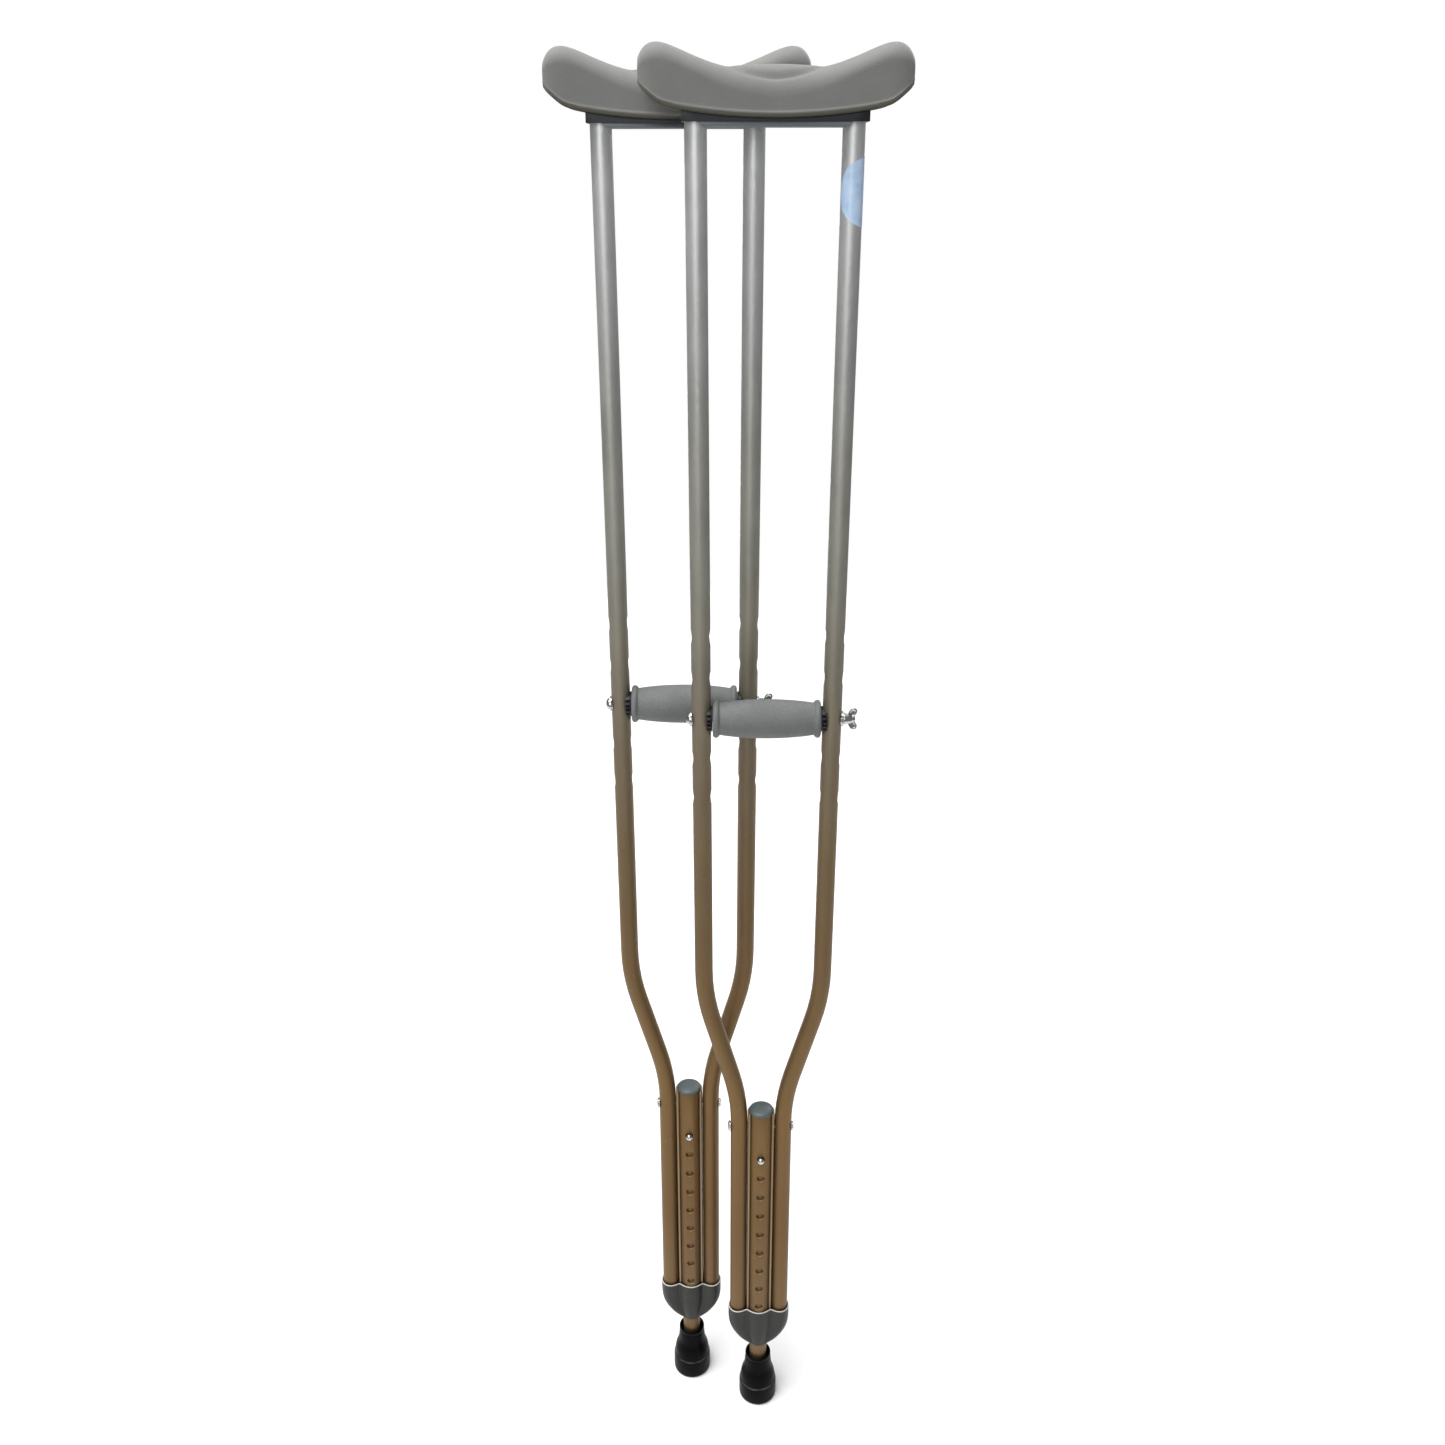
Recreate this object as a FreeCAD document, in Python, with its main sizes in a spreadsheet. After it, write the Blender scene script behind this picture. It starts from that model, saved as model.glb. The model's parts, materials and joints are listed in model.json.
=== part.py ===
import FreeCAD, Part
import math
import os
import Sketcher
from FreeCAD import Placement, Rotation, Vector

# A pair of adjustable underarm crutches, standing side by side on a floor at z = 0.
# X runs across each crutch from tube to tube, Y from front to back, Z up. All sizes are in mm.
# One crutch is described round its own upright axis, and built once for each of the pair.

doc = FreeCAD.newDocument("underarm_crutches")
sheet = doc.addObject("Spreadsheet::Sheet", "Dimensions")

SIZES = [
    ("front_axis_x", 41.0, "front crutch: across the pair"),
    ("front_axis_y", -20.0, "front crutch: depth"),
    ("rear_axis_x", -41.0, "rear crutch: across the pair"),
    ("rear_axis_y", 20.0, "rear crutch: depth"),
    ("pad_half_length", 113.5, "underarm pad, middle to end"),
    ("pad_depth", 38.0, "underarm pad, front to back"),
    ("pad_top", 1503.0, "height of the pad's horns"),
    ("pad_valley", 1482.0, "height of the pad's middle"),
    ("pad_end_low", 1475.0, "foot of the pad's upright end"),
    ("pad_corner_x", 85.6, "start of the pad's sloping corner"),
    ("pad_corner_z", 1453.0, "foot of the pad's sloping corner"),
    ("pad_bottom", 1446.0, "lowest line of the pad"),
    ("saddle_half_length", 77.5, "crosspiece, middle to end"),
    ("saddle_depth", 31.0, "crosspiece, front to back"),
    ("saddle_bottom", 1439.0, "underside of the crosspiece"),
    ("tongue_depth", 25.0, "tongue inside the pad, front to back"),
    ("tongue_top", 1463.0, "top of the tongue"),
    ("tube_radius", 9.525, "side tube, outside"),
    ("tube_wall", 1.6, "side tube wall"),
    ("tube_top", 1460.0, "top end of the side tubes"),
    ("tube_foot", 118.0, "bottom end of the side tubes"),
    ("tube_top_x", 66.1, "tube centre at the top"),
    ("tube_bend_x", 63.4, "tube centre above the bend"),
    ("tube_foot_x", 24.75, "tube centre beside the middle section"),
    ("bend_top", 617.0, "start of the bend"),
    ("bend_radius", 235.0, "centre-line radius of both bends"),
    ("bend_angle", 16.0, "slope of the tube between the bends, degrees"),
    ("grip_z", 907.0, "axis of the hand grip"),
    ("grip_pitch", 42.5, "spacing of the grip holes"),
    ("grip_hole_radius", 3.5, "grip holes"),
    ("notch_radius", 30.0, "scallop beside each grip hole"),
    ("notch_depth", 1.15, "depth of the scallop"),
    ("grip_half_length", 53.2, "grip, middle to flange face"),
    ("grip_radius", 19.6, "middle of the grip"),
    ("grip_end_radius", 16.2, "grip beside the flange"),
    ("flange_radius", 19.2, "grip flange"),
    ("core_radius", 11.0, "liner inside the grip"),
    ("bolt_radius", 3.175, "grip bolt shank"),
    ("ferrule_radius", 12.6, "end piece of the grip"),
    ("channel_radius", 13.0, "middle section, round part"),
    ("channel_bore", 10.35, "bore of the middle section"),
    ("channel_top", 430.0, "top end of the middle section"),
    ("channel_foot", 113.0, "bottom end of the middle section"),
    ("fin_half_depth", 7.4, "fins of the middle section, half their depth"),
    ("button_z", 372.0, "height of the snap button"),
    ("height_pitch", 27.6, "spacing of the height holes"),
    ("height_hole_radius", 4.6, "height holes"),
    ("frame_bolt_z", 410.0, "bolt through tubes and middle section"),
    ("collar_top", 143.0, "top of the bottom collar"),
    ("collar_bottom", 88.0, "foot of the bottom collar"),
    ("leg_radius", 10.3, "leg tube, outside"),
    ("leg_wall", 1.5, "leg tube wall"),
    ("leg_top", 390.0, "top end of the leg tube"),
    ("leg_foot", 12.5, "bottom end of the leg tube"),
    ("tip_radius", 22.5, "rubber tip at the floor"),
    ("tip_top", 68.0, "top of the rubber tip"),
    ("label_z", 1388.5, "middle of the round label"),
    ("label_radius", 28.0, "round label"),
]

size = {}
for row, (alias, value, note) in enumerate(SIZES, start=1):
    sheet.set("A%d" % row, note)
    sheet.set("B%d" % row, str(value))
    sheet.setAlias("B%d" % row, alias)
    size[alias] = value
doc.recompute()


# ---------------------------------------------------------------- helpers

def number_of(coordinate):
    """A coordinate is a number, or a name in the size table with an optional minus sign."""
    if isinstance(coordinate, str):
        if coordinate.startswith("-"):
            return -size[coordinate[1:]]
        return size[coordinate]
    return float(coordinate)


def formula_of(coordinate):
    if coordinate.startswith("-"):
        return "-Dimensions." + coordinate[1:]
    return "Dimensions." + coordinate


def new_body(label):
    body = doc.addObject("PartDesign::Body", label)
    body.Label = label
    return body


def plane_of(body, role):
    return [item for item in body.Origin.OriginFeatures if item.Role == role][0]


def new_sketch(body, name, role, offset=0.0):
    sketch = body.newObject("Sketcher::SketchObject", name)
    sketch.AttachmentSupport = (plane_of(body, role), [""])
    sketch.MapMode = "FlatFace"
    sketch.AttachmentOffset = Placement(Vector(0, 0, offset), Rotation())
    return sketch


def pin_point(sketch, geometry, position, point):
    """Ties one end of a line to the size table where its coordinate is a name."""
    for kind, coordinate in (("DistanceX", point[0]), ("DistanceY", point[1])):
        if isinstance(coordinate, str):
            index = sketch.addConstraint(
                Sketcher.Constraint(kind, -1, 1, geometry, position, number_of(coordinate)))
            sketch.setExpression("Constraints[%d]" % index, formula_of(coordinate))


def add_outline(sketch, points):
    """Closed outline of straight lines. A point (x, z, x_mid, z_mid) starts an arc through the middle."""
    first = sketch.GeometryCount
    count = len(points)
    for i, point in enumerate(points):
        start = Vector(number_of(point[0]), number_of(point[1]), 0)
        following = points[(i + 1) % count]
        end = Vector(number_of(following[0]), number_of(following[1]), 0)
        if len(point) == 4:
            middle = Vector(number_of(point[2]), number_of(point[3]), 0)
            sketch.addGeometry(Part.Arc(start, middle, end), False)
        else:
            sketch.addGeometry(Part.LineSegment(start, end), False)
    for i, point in enumerate(points):
        if len(point) == 2 and len(points[i - 1]) == 2:
            sketch.addConstraint(Sketcher.Constraint(
                "Coincident", first + (i - 1) % count, 2, first + i, 1))
            pin_point(sketch, first + i, 1, point)


def add_circle(sketch, x, y, radius):
    index = sketch.addGeometry(
        Part.Circle(Vector(x, y, 0), Vector(0, 0, 1), number_of(radius)), False)
    if isinstance(radius, str):
        constraint = sketch.addConstraint(
            Sketcher.Constraint("Radius", index, number_of(radius)))
        sketch.setExpression("Constraints[%d]" % constraint, formula_of(radius))


def extrude(body, kind, sketch, name, length, symmetric=False, backwards=False):
    """Pad or Pocket of one sketch."""
    feature = body.newObject("PartDesign::" + kind, name)
    feature.Profile = sketch
    feature.Length = number_of(length)
    if isinstance(length, str):
        feature.setExpression("Length", formula_of(length))
    if symmetric:
        feature.SideType = "Symmetric"
    feature.Reversed = backwards
    sketch.Visibility = False
    return feature


def turn(body, kind, sketch, name, axis):
    """Revolution or Groove of one sketch about its own V_Axis or H_Axis."""
    feature = body.newObject("PartDesign::" + kind, name)
    feature.Profile = sketch
    feature.ReferenceAxis = (sketch, [axis])
    feature.Angle = 360.0
    sketch.Visibility = False
    return feature


def round_edges(body, feature, name, radius, wanted):
    """Fillets every edge of the feature that the test accepts."""
    doc.recompute()
    names = []
    for index, edge in enumerate(feature.Shape.Edges, start=1):
        if wanted(edge):
            names.append("Edge%d" % index)
    fillet = body.newObject("PartDesign::Fillet", name)
    fillet.Base = (feature, names)
    fillet.Radius = radius
    return fillet


def cylinder(name, radius, length, base, direction):
    item = doc.addObject("Part::Cylinder", name)
    item.Radius = number_of(radius)
    if isinstance(radius, str):
        item.setExpression("Radius", formula_of(radius))
    item.Height = length
    item.Placement = Placement(base, Rotation(Vector(0, 0, 1), direction))
    return item


def cut(name, solid, tool):
    item = doc.addObject("Part::Cut", name)
    item.Base = solid
    item.Tool = tool
    return item


def compound(name, items):
    item = doc.addObject("Part::Compound", name)
    item.Links = items
    return item


def tube_x(height):
    """Distance of a side tube's centre from the crutch axis above the bend."""
    share = (height - size["bend_top"]) / (size["tube_top"] - size["bend_top"])
    return size["tube_bend_x"] + share * (size["tube_top_x"] - size["tube_bend_x"])


GRIP_STEPS = (-2, -1, 0, 1, 2)
HEIGHT_HOLES = 9
BOLT_X = tube_x(size["grip_z"])


# ---------------------------------------------------------------- top of the crutch

def underarm_pad(label):
    body = new_body(label)
    outline = new_sketch(body, "PadOutline", "XZ_Plane")
    low = size["pad_corner_z"]
    add_outline(outline, [
        (-85.6, low, 0, "pad_bottom"),
        (85.6, low),
        (113.5, "pad_end_low"),
        ("pad_half_length", "pad_top"),
        (84, "pad_top", 0, "pad_valley"),
        (-84, "pad_top"),
        ("-pad_half_length", "pad_top"),
        (-113.5, "pad_end_low"),
    ])
    block = extrude(body, "Pad", outline, "PadBlock", "pad_depth", symmetric=True)

    def across(edge):
        ends = [vertex.Point for vertex in edge.Vertexes]
        return len(ends) == 2 and abs(ends[0].y - ends[1].y) > 30 and abs(ends[0].x) > 80

    ends_rounded = round_edges(body, block, "RoundedHorns", 9.0, across)

    def rim(edge):
        box = edge.BoundBox
        return box.YLength < 0.01 and abs(abs(box.Center.y) - size["pad_depth"] / 2) < 0.01

    padded = round_edges(body, ends_rounded, "SoftEdges", 5.0, rim)
    body.Tip = padded
    hollow = new_sketch(body, "TongueHollow", "XZ_Plane")
    add_outline(hollow, [(-77.4, 1430), (77.4, 1430), (77.4, 1463.4), (-77.4, 1463.4)])
    extrude(body, "Pocket", hollow, "TonguePocket", size["tongue_depth"] + 0.6, symmetric=True)
    return body


def pad_saddle(label):
    body = new_body(label)
    outline = new_sketch(body, "CrosspieceOutline", "XZ_Plane")
    step = size["saddle_bottom"] + 4.0
    add_outline(outline, [
        (-58, "saddle_bottom"),
        (58, "saddle_bottom"),
        (64, step),
        ("saddle_half_length", step),
        (77.5, 1451.4, 0, 1445.7),
        (-77.5, 1451.4),
        ("-saddle_half_length", step),
        (-64, step),
    ])
    extrude(body, "Pad", outline, "Crosspiece", "saddle_depth", symmetric=True)
    tongue = new_sketch(body, "TongueOutline", "XZ_Plane")
    add_outline(tongue, [(-77, 1444.5), (77, 1444.5), (77, "tongue_top"), (-77, "tongue_top")])
    extrude(body, "Pad", tongue, "Tongue", "tongue_depth", symmetric=True)
    sockets = new_sketch(body, "TubeSockets", "XY_Plane", size["saddle_bottom"] - 2)
    for side in (-1, 1):
        add_circle(sockets, side * tube_x(1450), 0, size["tube_radius"] + 0.2)
    extrude(body, "Pocket", sockets, "Sockets", size["tube_top"] - size["saddle_bottom"] + 2.4,
            backwards=True)
    pins = new_sketch(body, "PinHoles", "XZ_Plane")
    for side in (-1, 1):
        add_circle(pins, side * tube_x(1456), 1456, 2.05)
    extrude(body, "Pocket", pins, "PinBores", 40, symmetric=True)
    return body


def saddle_pins(label):
    pins = []
    for side in (-1, 1):
        base = Vector(side * tube_x(1456), -12.3, 1456)
        pins.append(cylinder("SaddlePin", 2.0, 24.6, base, Vector(0, 1, 0)))
    return compound(label, pins)


# ---------------------------------------------------------------- side tubes

def side_tube(label, side):
    """One round tube from the collar up, round an S-bend, and on up into the crosspiece."""
    body = new_body(label)
    angle = math.radians(size["bend_angle"])
    radius = size["bend_radius"]
    drop = radius * math.sin(angle)
    shift = radius * (1 - math.cos(angle))
    top_x = size["tube_bend_x"]
    foot_x = size["tube_foot_x"]
    slope_height = (top_x - foot_x - 2 * shift) / math.tan(angle)
    bend_foot = size["bend_top"] - 2 * drop - slope_height
    half = radius * math.sin(angle / 2)
    sag = radius * (1 - math.cos(angle / 2))

    def at(x, z):
        return Vector(side * x, z, 0)

    path = new_sketch(body, "TubePath", "XZ_Plane")
    path.addGeometry(Part.LineSegment(at(foot_x, size["tube_foot"]), at(foot_x, bend_foot)), False)
    path.addGeometry(Part.Arc(at(foot_x, bend_foot), at(foot_x + sag, bend_foot + half),
                              at(foot_x + shift, bend_foot + drop)), False)
    path.addGeometry(Part.LineSegment(at(foot_x + shift, bend_foot + drop),
                                      at(top_x - shift, size["bend_top"] - drop)), False)
    path.addGeometry(Part.Arc(at(top_x - shift, size["bend_top"] - drop),
                              at(top_x - sag, size["bend_top"] - half),
                              at(top_x, size["bend_top"])), False)
    path.addGeometry(Part.LineSegment(at(top_x, size["bend_top"]),
                                      at(size["tube_top_x"], size["tube_top"])), False)
    ring = new_sketch(body, "TubeSection", "XY_Plane", size["tube_foot"])
    add_circle(ring, side * foot_x, 0, "tube_radius")
    add_circle(ring, side * foot_x, 0, size["tube_radius"] - size["tube_wall"])
    tube = body.newObject("PartDesign::AdditivePipe", "Tube")
    tube.Profile = ring
    tube.Spine = path
    tube.Transition = "Transformed"
    ring.Visibility = False
    path.Visibility = False

    notches = new_sketch(body, "GripNotches", "XZ_Plane")
    reach = size["tube_radius"] + size["notch_radius"] - size["notch_depth"]
    for step in GRIP_STEPS:
        height = size["grip_z"] + step * size["grip_pitch"]
        for way in (-1, 1):
            add_circle(notches, side * tube_x(height) + way * reach, height, "notch_radius")
    extrude(body, "Pocket", notches, "Notches", 40, symmetric=True)

    holes = new_sketch(body, "GripHoles", "YZ_Plane")
    for step in GRIP_STEPS:
        add_circle(holes, 0, size["grip_z"] + step * size["grip_pitch"], "grip_hole_radius")
    extrude(body, "Pocket", holes, "GripBores", 200, symmetric=True)

    fixing = new_sketch(body, "FrameBoltHole", "YZ_Plane")
    add_circle(fixing, 0, size["frame_bolt_z"], 3.2)
    extrude(body, "Pocket", fixing, "FrameBoltBore", 200, symmetric=True)

    pin = new_sketch(body, "PinHole", "XZ_Plane")
    add_circle(pin, side * tube_x(1456), 1456, 2.05)
    extrude(body, "Pocket", pin, "PinBore", 40, symmetric=True)
    return body


def round_label(label):
    """Thin blank disc wrapped round the outer side of one tube."""
    inner = size["tube_radius"] + 0.05
    outer = inner + 0.16
    centre = tube_x(size["label_z"])
    low = size["label_z"] - size["label_radius"] - 1
    height = 2 * size["label_radius"] + 2
    start = Vector(tube_x(low), 0, low)
    along = Vector(tube_x(low + height) - tube_x(low), 0, height)
    sleeve = cut("LabelSleeve",
                 cylinder("LabelOuter", outer, height, start, along),
                 cylinder("LabelInner", inner, height, start, along))
    steps = 20
    upper = []
    for i in range(steps + 1):
        turned = size["label_radius"] / outer * math.sin(math.pi / 2 * i / steps)
        rise = math.sqrt(max(0.0, size["label_radius"] ** 2 - (outer * turned) ** 2))
        upper.append(Vector(centre + outer * math.cos(turned), -20, size["label_z"] + rise))
    lower = [Vector(p.x, p.y, 2 * size["label_z"] - p.z) for p in reversed(upper[:-1])]
    edge = [Vector(centre + 12, -20, lower[-1].z), Vector(centre + 12, -20, upper[0].z)]
    outline = Part.makePolygon(upper + lower + edge + [upper[0]])
    disc = doc.addObject("Part::Feature", "LabelDisc")
    disc.Shape = Part.Face(outline).extrude(Vector(0, 40, 0))
    item = doc.addObject("Part::Common", label)
    item.Base = sleeve
    item.Tool = disc
    return item


# ---------------------------------------------------------------- hand grip

def grip_sleeve(label):
    """Barrel with a flange at each end, turned about the bolt axis."""
    body = new_body(label)
    half = size["grip_half_length"]
    bore = size["core_radius"] + 0.1
    profile = new_sketch(body, "GripProfile", "XZ_Plane")
    add_outline(profile, [
        (-half, bore),
        (half, bore),
        (half, 16.4, half - 1.0, 18.7),
        (half - 3.4, "flange_radius", half - 5.8, 18.6),
        (half - 7.0, "grip_end_radius", 0, "grip_radius"),
        (-half + 7.0, "grip_end_radius", -half + 5.8, 18.6),
        (-half + 3.4, "flange_radius", -half + 1.0, 18.7),
        (-half, 16.4),
    ])
    turn(body, "Revolution", profile, "Barrel", "H_Axis")
    return body


def grip_core(label):
    body = new_body(label)
    profile = new_sketch(body, "CoreProfile", "XZ_Plane")
    half = size["grip_half_length"] - 0.2
    add_outline(profile, [(-half, 3.6), (half, 3.6), (half, "core_radius"), (-half, "core_radius")])
    turn(body, "Revolution", profile, "Core", "H_Axis")
    return body


def grip_ferrule(label, side):
    """Ribbed end piece: flat against the grip, hollowed to sit against the tube."""
    body = new_body(label)
    near = size["grip_half_length"] + 0.25
    far = BOLT_X - size["tube_radius"] + 4.2
    profile = new_sketch(body, "FerruleProfile", "XZ_Plane")
    add_outline(profile, [
        (side * near, 3.5),
        (side * far, 3.5),
        (side * far, 12.6),
        (side * near, "ferrule_radius"),
    ])
    turn(body, "Revolution", profile, "Ferrule", "H_Axis")
    saddle = new_sketch(body, "TubeSeat", "XY_Plane", -20)
    add_circle(saddle, side * BOLT_X, 0, size["tube_radius"] + 0.25)
    extrude(body, "Pocket", saddle, "TubeSeatCut", 40, backwards=True)
    slots = new_sketch(body, "RibSlots", "XZ_Plane")
    inner = near + 1.2
    outer = far + 3
    for height in (-6.6, -2.2, 2.2, 6.6):
        low = height - 1.0
        top = height + 1.0
        add_outline(slots, [(side * inner, low), (side * outer, low), (side * outer, top), (side * inner, top)])
    extrude(body, "Pocket", slots, "RibSlotCuts", 40, symmetric=True)
    return body


def grip_bolt(label):
    """Domed head on the left, plain shank through both tubes and the grip."""
    body = new_body(label)
    head = -(BOLT_X + size["tube_radius"] + 1.7)
    profile = new_sketch(body, "BoltProfile", "XZ_Plane")
    add_outline(profile, [
        (head, 0),
        (87.2, 0),
        (87.2, 2.6),
        (86.6, "bolt_radius"),
        (head, 3.175),
        (head, 6.2, head - 2.6, 4.6),
        (head - 3.5, 1.2),
        (head - 3.5, 0),
    ])
    turn(body, "Revolution", profile, "Bolt", "H_Axis")
    return body


def washer_pair(label, centre, hole, radius, thickness):
    """One flat washer against the outer side of each tube."""
    washers = []
    for side in (-1, 1):
        base = Vector(side * centre, 0, 0)
        way = Vector(side, 0, 0)
        washers.append(cut("Washer",
                           cylinder("WasherDisc", radius, thickness, base, way),
                           cylinder("WasherHole", hole, thickness, base, way)))
    return compound(label, washers)


def wing_nut(label):
    """Tapered hub with two rounded wings, one up and one down."""
    body = new_body(label)
    near = BOLT_X + size["tube_radius"] + 1.75
    profile = new_sketch(body, "HubProfile", "XZ_Plane")
    add_outline(profile, [
        (near, 3.24),
        (near + 8.0, 3.24),
        (near + 8.0, 4.6),
        (near + 1.0, 6.0),
        (near, 6.0),
    ])
    turn(body, "Revolution", profile, "Hub", "H_Axis")
    for name, way in (("Upper", 1), ("Lower", -1)):
        blade = new_sketch(body, name + "WingOutline", "XZ_Plane")
        add_outline(blade, [
            (near + 1.0, way * 4.2),
            (near + 7.4, way * 4.2),
            (near + 12.6, way * 6.6, near + 13.0, way * 10.4),
            (near + 9.6, way * 11.2, near + 6.6, way * 10.2),
            (near + 4.8, way * 7.2),
        ])
        extrude(body, "Pad", blade, name + "Wing", 2.4, symmetric=True)
    return body


# ---------------------------------------------------------------- middle section

def centre_extrusion(label):
    """Round tube with a flat fin down each side, standing between the side tubes."""
    body = new_body(label)
    height = size["channel_top"] - size["channel_foot"]
    round_part = new_sketch(body, "RoundSection", "XY_Plane", size["channel_foot"])
    add_circle(round_part, 0, 0, "channel_radius")
    extrude(body, "Pad", round_part, "RoundPart", height)
    fins = new_sketch(body, "FinSection", "XY_Plane", size["channel_foot"])
    for side in (-1, 1):
        add_outline(fins, [
            (side * 12.0, "-fin_half_depth"),
            (side * 14.0, "-fin_half_depth"),
            (side * 14.0, -5.0),
            (side * 15.1, -4.0),
            (side * 15.1, 4.0),
            (side * 14.0, 5.0),
            (side * 14.0, "fin_half_depth"),
            (side * 12.0, "fin_half_depth"),
        ])
    extrude(body, "Pad", fins, "Fins", height)
    bore = new_sketch(body, "BoreSection", "XY_Plane", size["channel_foot"] - 1)
    add_circle(bore, 0, 0, "channel_bore")
    extrude(body, "Pocket", bore, "Bore", height + 2, backwards=True)
    holes = new_sketch(body, "HeightHoles", "XZ_Plane")
    for step in range(HEIGHT_HOLES):
        add_circle(holes, 0, size["button_z"] - step * size["height_pitch"], "height_hole_radius")
    extrude(body, "Pocket", holes, "HeightBores", 20, backwards=True)
    bolt = new_sketch(body, "FrameBoltHole", "YZ_Plane")
    add_circle(bolt, 0, size["frame_bolt_z"], 3.2)
    extrude(body, "Pocket", bolt, "FrameBoltBore", 40, symmetric=True)
    return body


def extrusion_cap(label):
    body = new_body(label)
    profile = new_sketch(body, "CapProfile", "XZ_Plane")
    top = size["channel_top"]
    add_outline(profile, [
        (0, top - 8),
        (10.1, top - 8),
        (10.1, top + 0.2),
        (13.7, top + 0.2),
        (13.7, top + 2.6, 8.0, top + 5.3),
        (1.5, top + 6.2),
        (0, top + 6.2),
    ])
    turn(body, "Revolution", profile, "Cap", "V_Axis")
    return body


def frame_bolt(label):
    """Bolt with a wide low head on the left; its end stops just inside the nut's face."""
    body = new_body(label)
    tube_face = size["tube_foot_x"] + size["tube_radius"]
    head = -(tube_face + 0.8)
    tail = tube_face + 2.3
    profile = new_sketch(body, "FrameBoltProfile", "XZ_Plane")
    add_outline(profile, [
        (head, 0),
        (tail, 0),
        (tail, 3.0),
        (head, 3.0),
        (head, 6.4),
        (head - 0.5, 6.4, head - 1.7, 4.4),
        (head - 2.2, 1.2),
        (head - 2.2, 0),
    ])
    turn(body, "Revolution", profile, "Bolt", "H_Axis")
    return body


def frame_nut(label):
    """Thin nut on the end of the frame bolt."""
    body = new_body(label)
    near = size["tube_foot_x"] + size["tube_radius"] + 0.8
    profile = new_sketch(body, "NutProfile", "XZ_Plane")
    add_outline(profile, [
        (near, 3.1),
        (near + 1.6, 3.1),
        (near + 1.6, 4.1),
        (near + 1.0, 4.9),
        (near, 4.9),
    ])
    turn(body, "Revolution", profile, "Nut", "H_Axis")
    return body


# ---------------------------------------------------------------- collar, leg and foot

def bottom_collar(label):
    """Three-lobed cup round the tube ends, narrowing to a neck round the leg."""
    body = new_body(label)
    foot = size["collar_bottom"]
    height = size["collar_top"] - foot
    outline = new_sketch(body, "LobedOutline", "XY_Plane", foot)
    right = [
        (14.3, -8.4, 19.8, -11.5),
        (26.2, -12.45, 33.1, -8.9),
        (36.35, 0, 33.1, 8.9),
        (26.2, 12.45, 19.8, 11.5),
        (14.3, 8.4, 0, 15.0),
    ]
    left = [
        (-14.3, 8.4, -19.8, 11.5),
        (-26.2, 12.45, -33.1, 8.9),
        (-36.35, 0, -33.1, -8.9),
        (-26.2, -12.45, -19.8, -11.5),
        (-14.3, -8.4, 0, -15.0),
    ]
    add_outline(outline, right + left)
    extrude(body, "Pad", outline, "Cup", height)
    corners = new_sketch(body, "TaperedCorners", "XZ_Plane")
    for side in (-1, 1):
        add_outline(corners, [
            (side * 12.6, foot - 5),
            (side * 60, foot - 5),
            (side * 60, 126),
            (side * 37, 126, side * 35.1, 115.6),
            (side * 31.2, 107.4),
            (side * 25.4, 99.2),
            (side * 12.6, foot + 1.0),
        ])
    extrude(body, "Pocket", corners, "Taper", 60, symmetric=True)
    sockets = new_sketch(body, "TubeSockets", "XY_Plane", size["collar_top"] + 1)
    for side in (-1, 1):
        add_circle(sockets, side * size["tube_foot_x"], 0, size["tube_radius"] + 0.15)
    extrude(body, "Pocket", sockets, "Sockets", size["collar_top"] + 1 - size["tube_foot"] + 0.3)
    seat = new_sketch(body, "MiddleSocket", "XY_Plane", size["collar_top"] + 1)
    add_circle(seat, 0, 0, size["channel_radius"] + 0.15)
    extrude(body, "Pocket", seat, "Seat", size["collar_top"] + 1 - size["channel_foot"] + 0.3)
    fins = new_sketch(body, "FinSlots", "XY_Plane", size["collar_top"] + 1)
    reach = size["fin_half_depth"] + 0.15
    for side in (-1, 1):
        add_outline(fins, [(side * 10, -reach), (side * 15.6, -reach), (side * 15.6, reach), (side * 10, reach)])
    extrude(body, "Pocket", fins, "FinCuts", size["collar_top"] + 1 - size["channel_foot"] + 0.3)
    way = new_sketch(body, "LegWay", "XY_Plane", size["collar_top"] + 1)
    add_circle(way, 0, 0, 11.35)
    extrude(body, "Pocket", way, "LegBore", 80)
    return body


def leg_guide_bush(label):
    return cut(label,
               cylinder("BushOuter", 11.2, 24.0, Vector(0, 0, 88.3), Vector(0, 0, 1)),
               cylinder("BushBore", "channel_bore", 24.0, Vector(0, 0, 88.3), Vector(0, 0, 1)))


def leg_tube(label):
    body = new_body(label)
    section = new_sketch(body, "LegSection", "XY_Plane", size["leg_foot"])
    add_circle(section, 0, 0, "leg_radius")
    add_circle(section, 0, 0, size["leg_radius"] - size["leg_wall"])
    extrude(body, "Pad", section, "Leg", size["leg_top"] - size["leg_foot"])
    hole = new_sketch(body, "ButtonHole", "XZ_Plane")
    add_circle(hole, 0, size["button_z"], 4.2)
    extrude(body, "Pocket", hole, "ButtonBore", 20, backwards=True)
    return body


def leg_top_plug(label):
    body = new_body(label)
    profile = new_sketch(body, "PlugProfile", "XZ_Plane")
    top = size["leg_top"]
    add_outline(profile, [
        (4.0, top - 4), (8.65, top - 4), (8.65, top + 0.2), ("leg_radius", top + 0.2),
        (10.3, top + 2.2), (9.4, top + 3.2), (4.0, top + 3.2),
    ])
    turn(body, "Revolution", profile, "Plug", "V_Axis")
    return body


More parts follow.
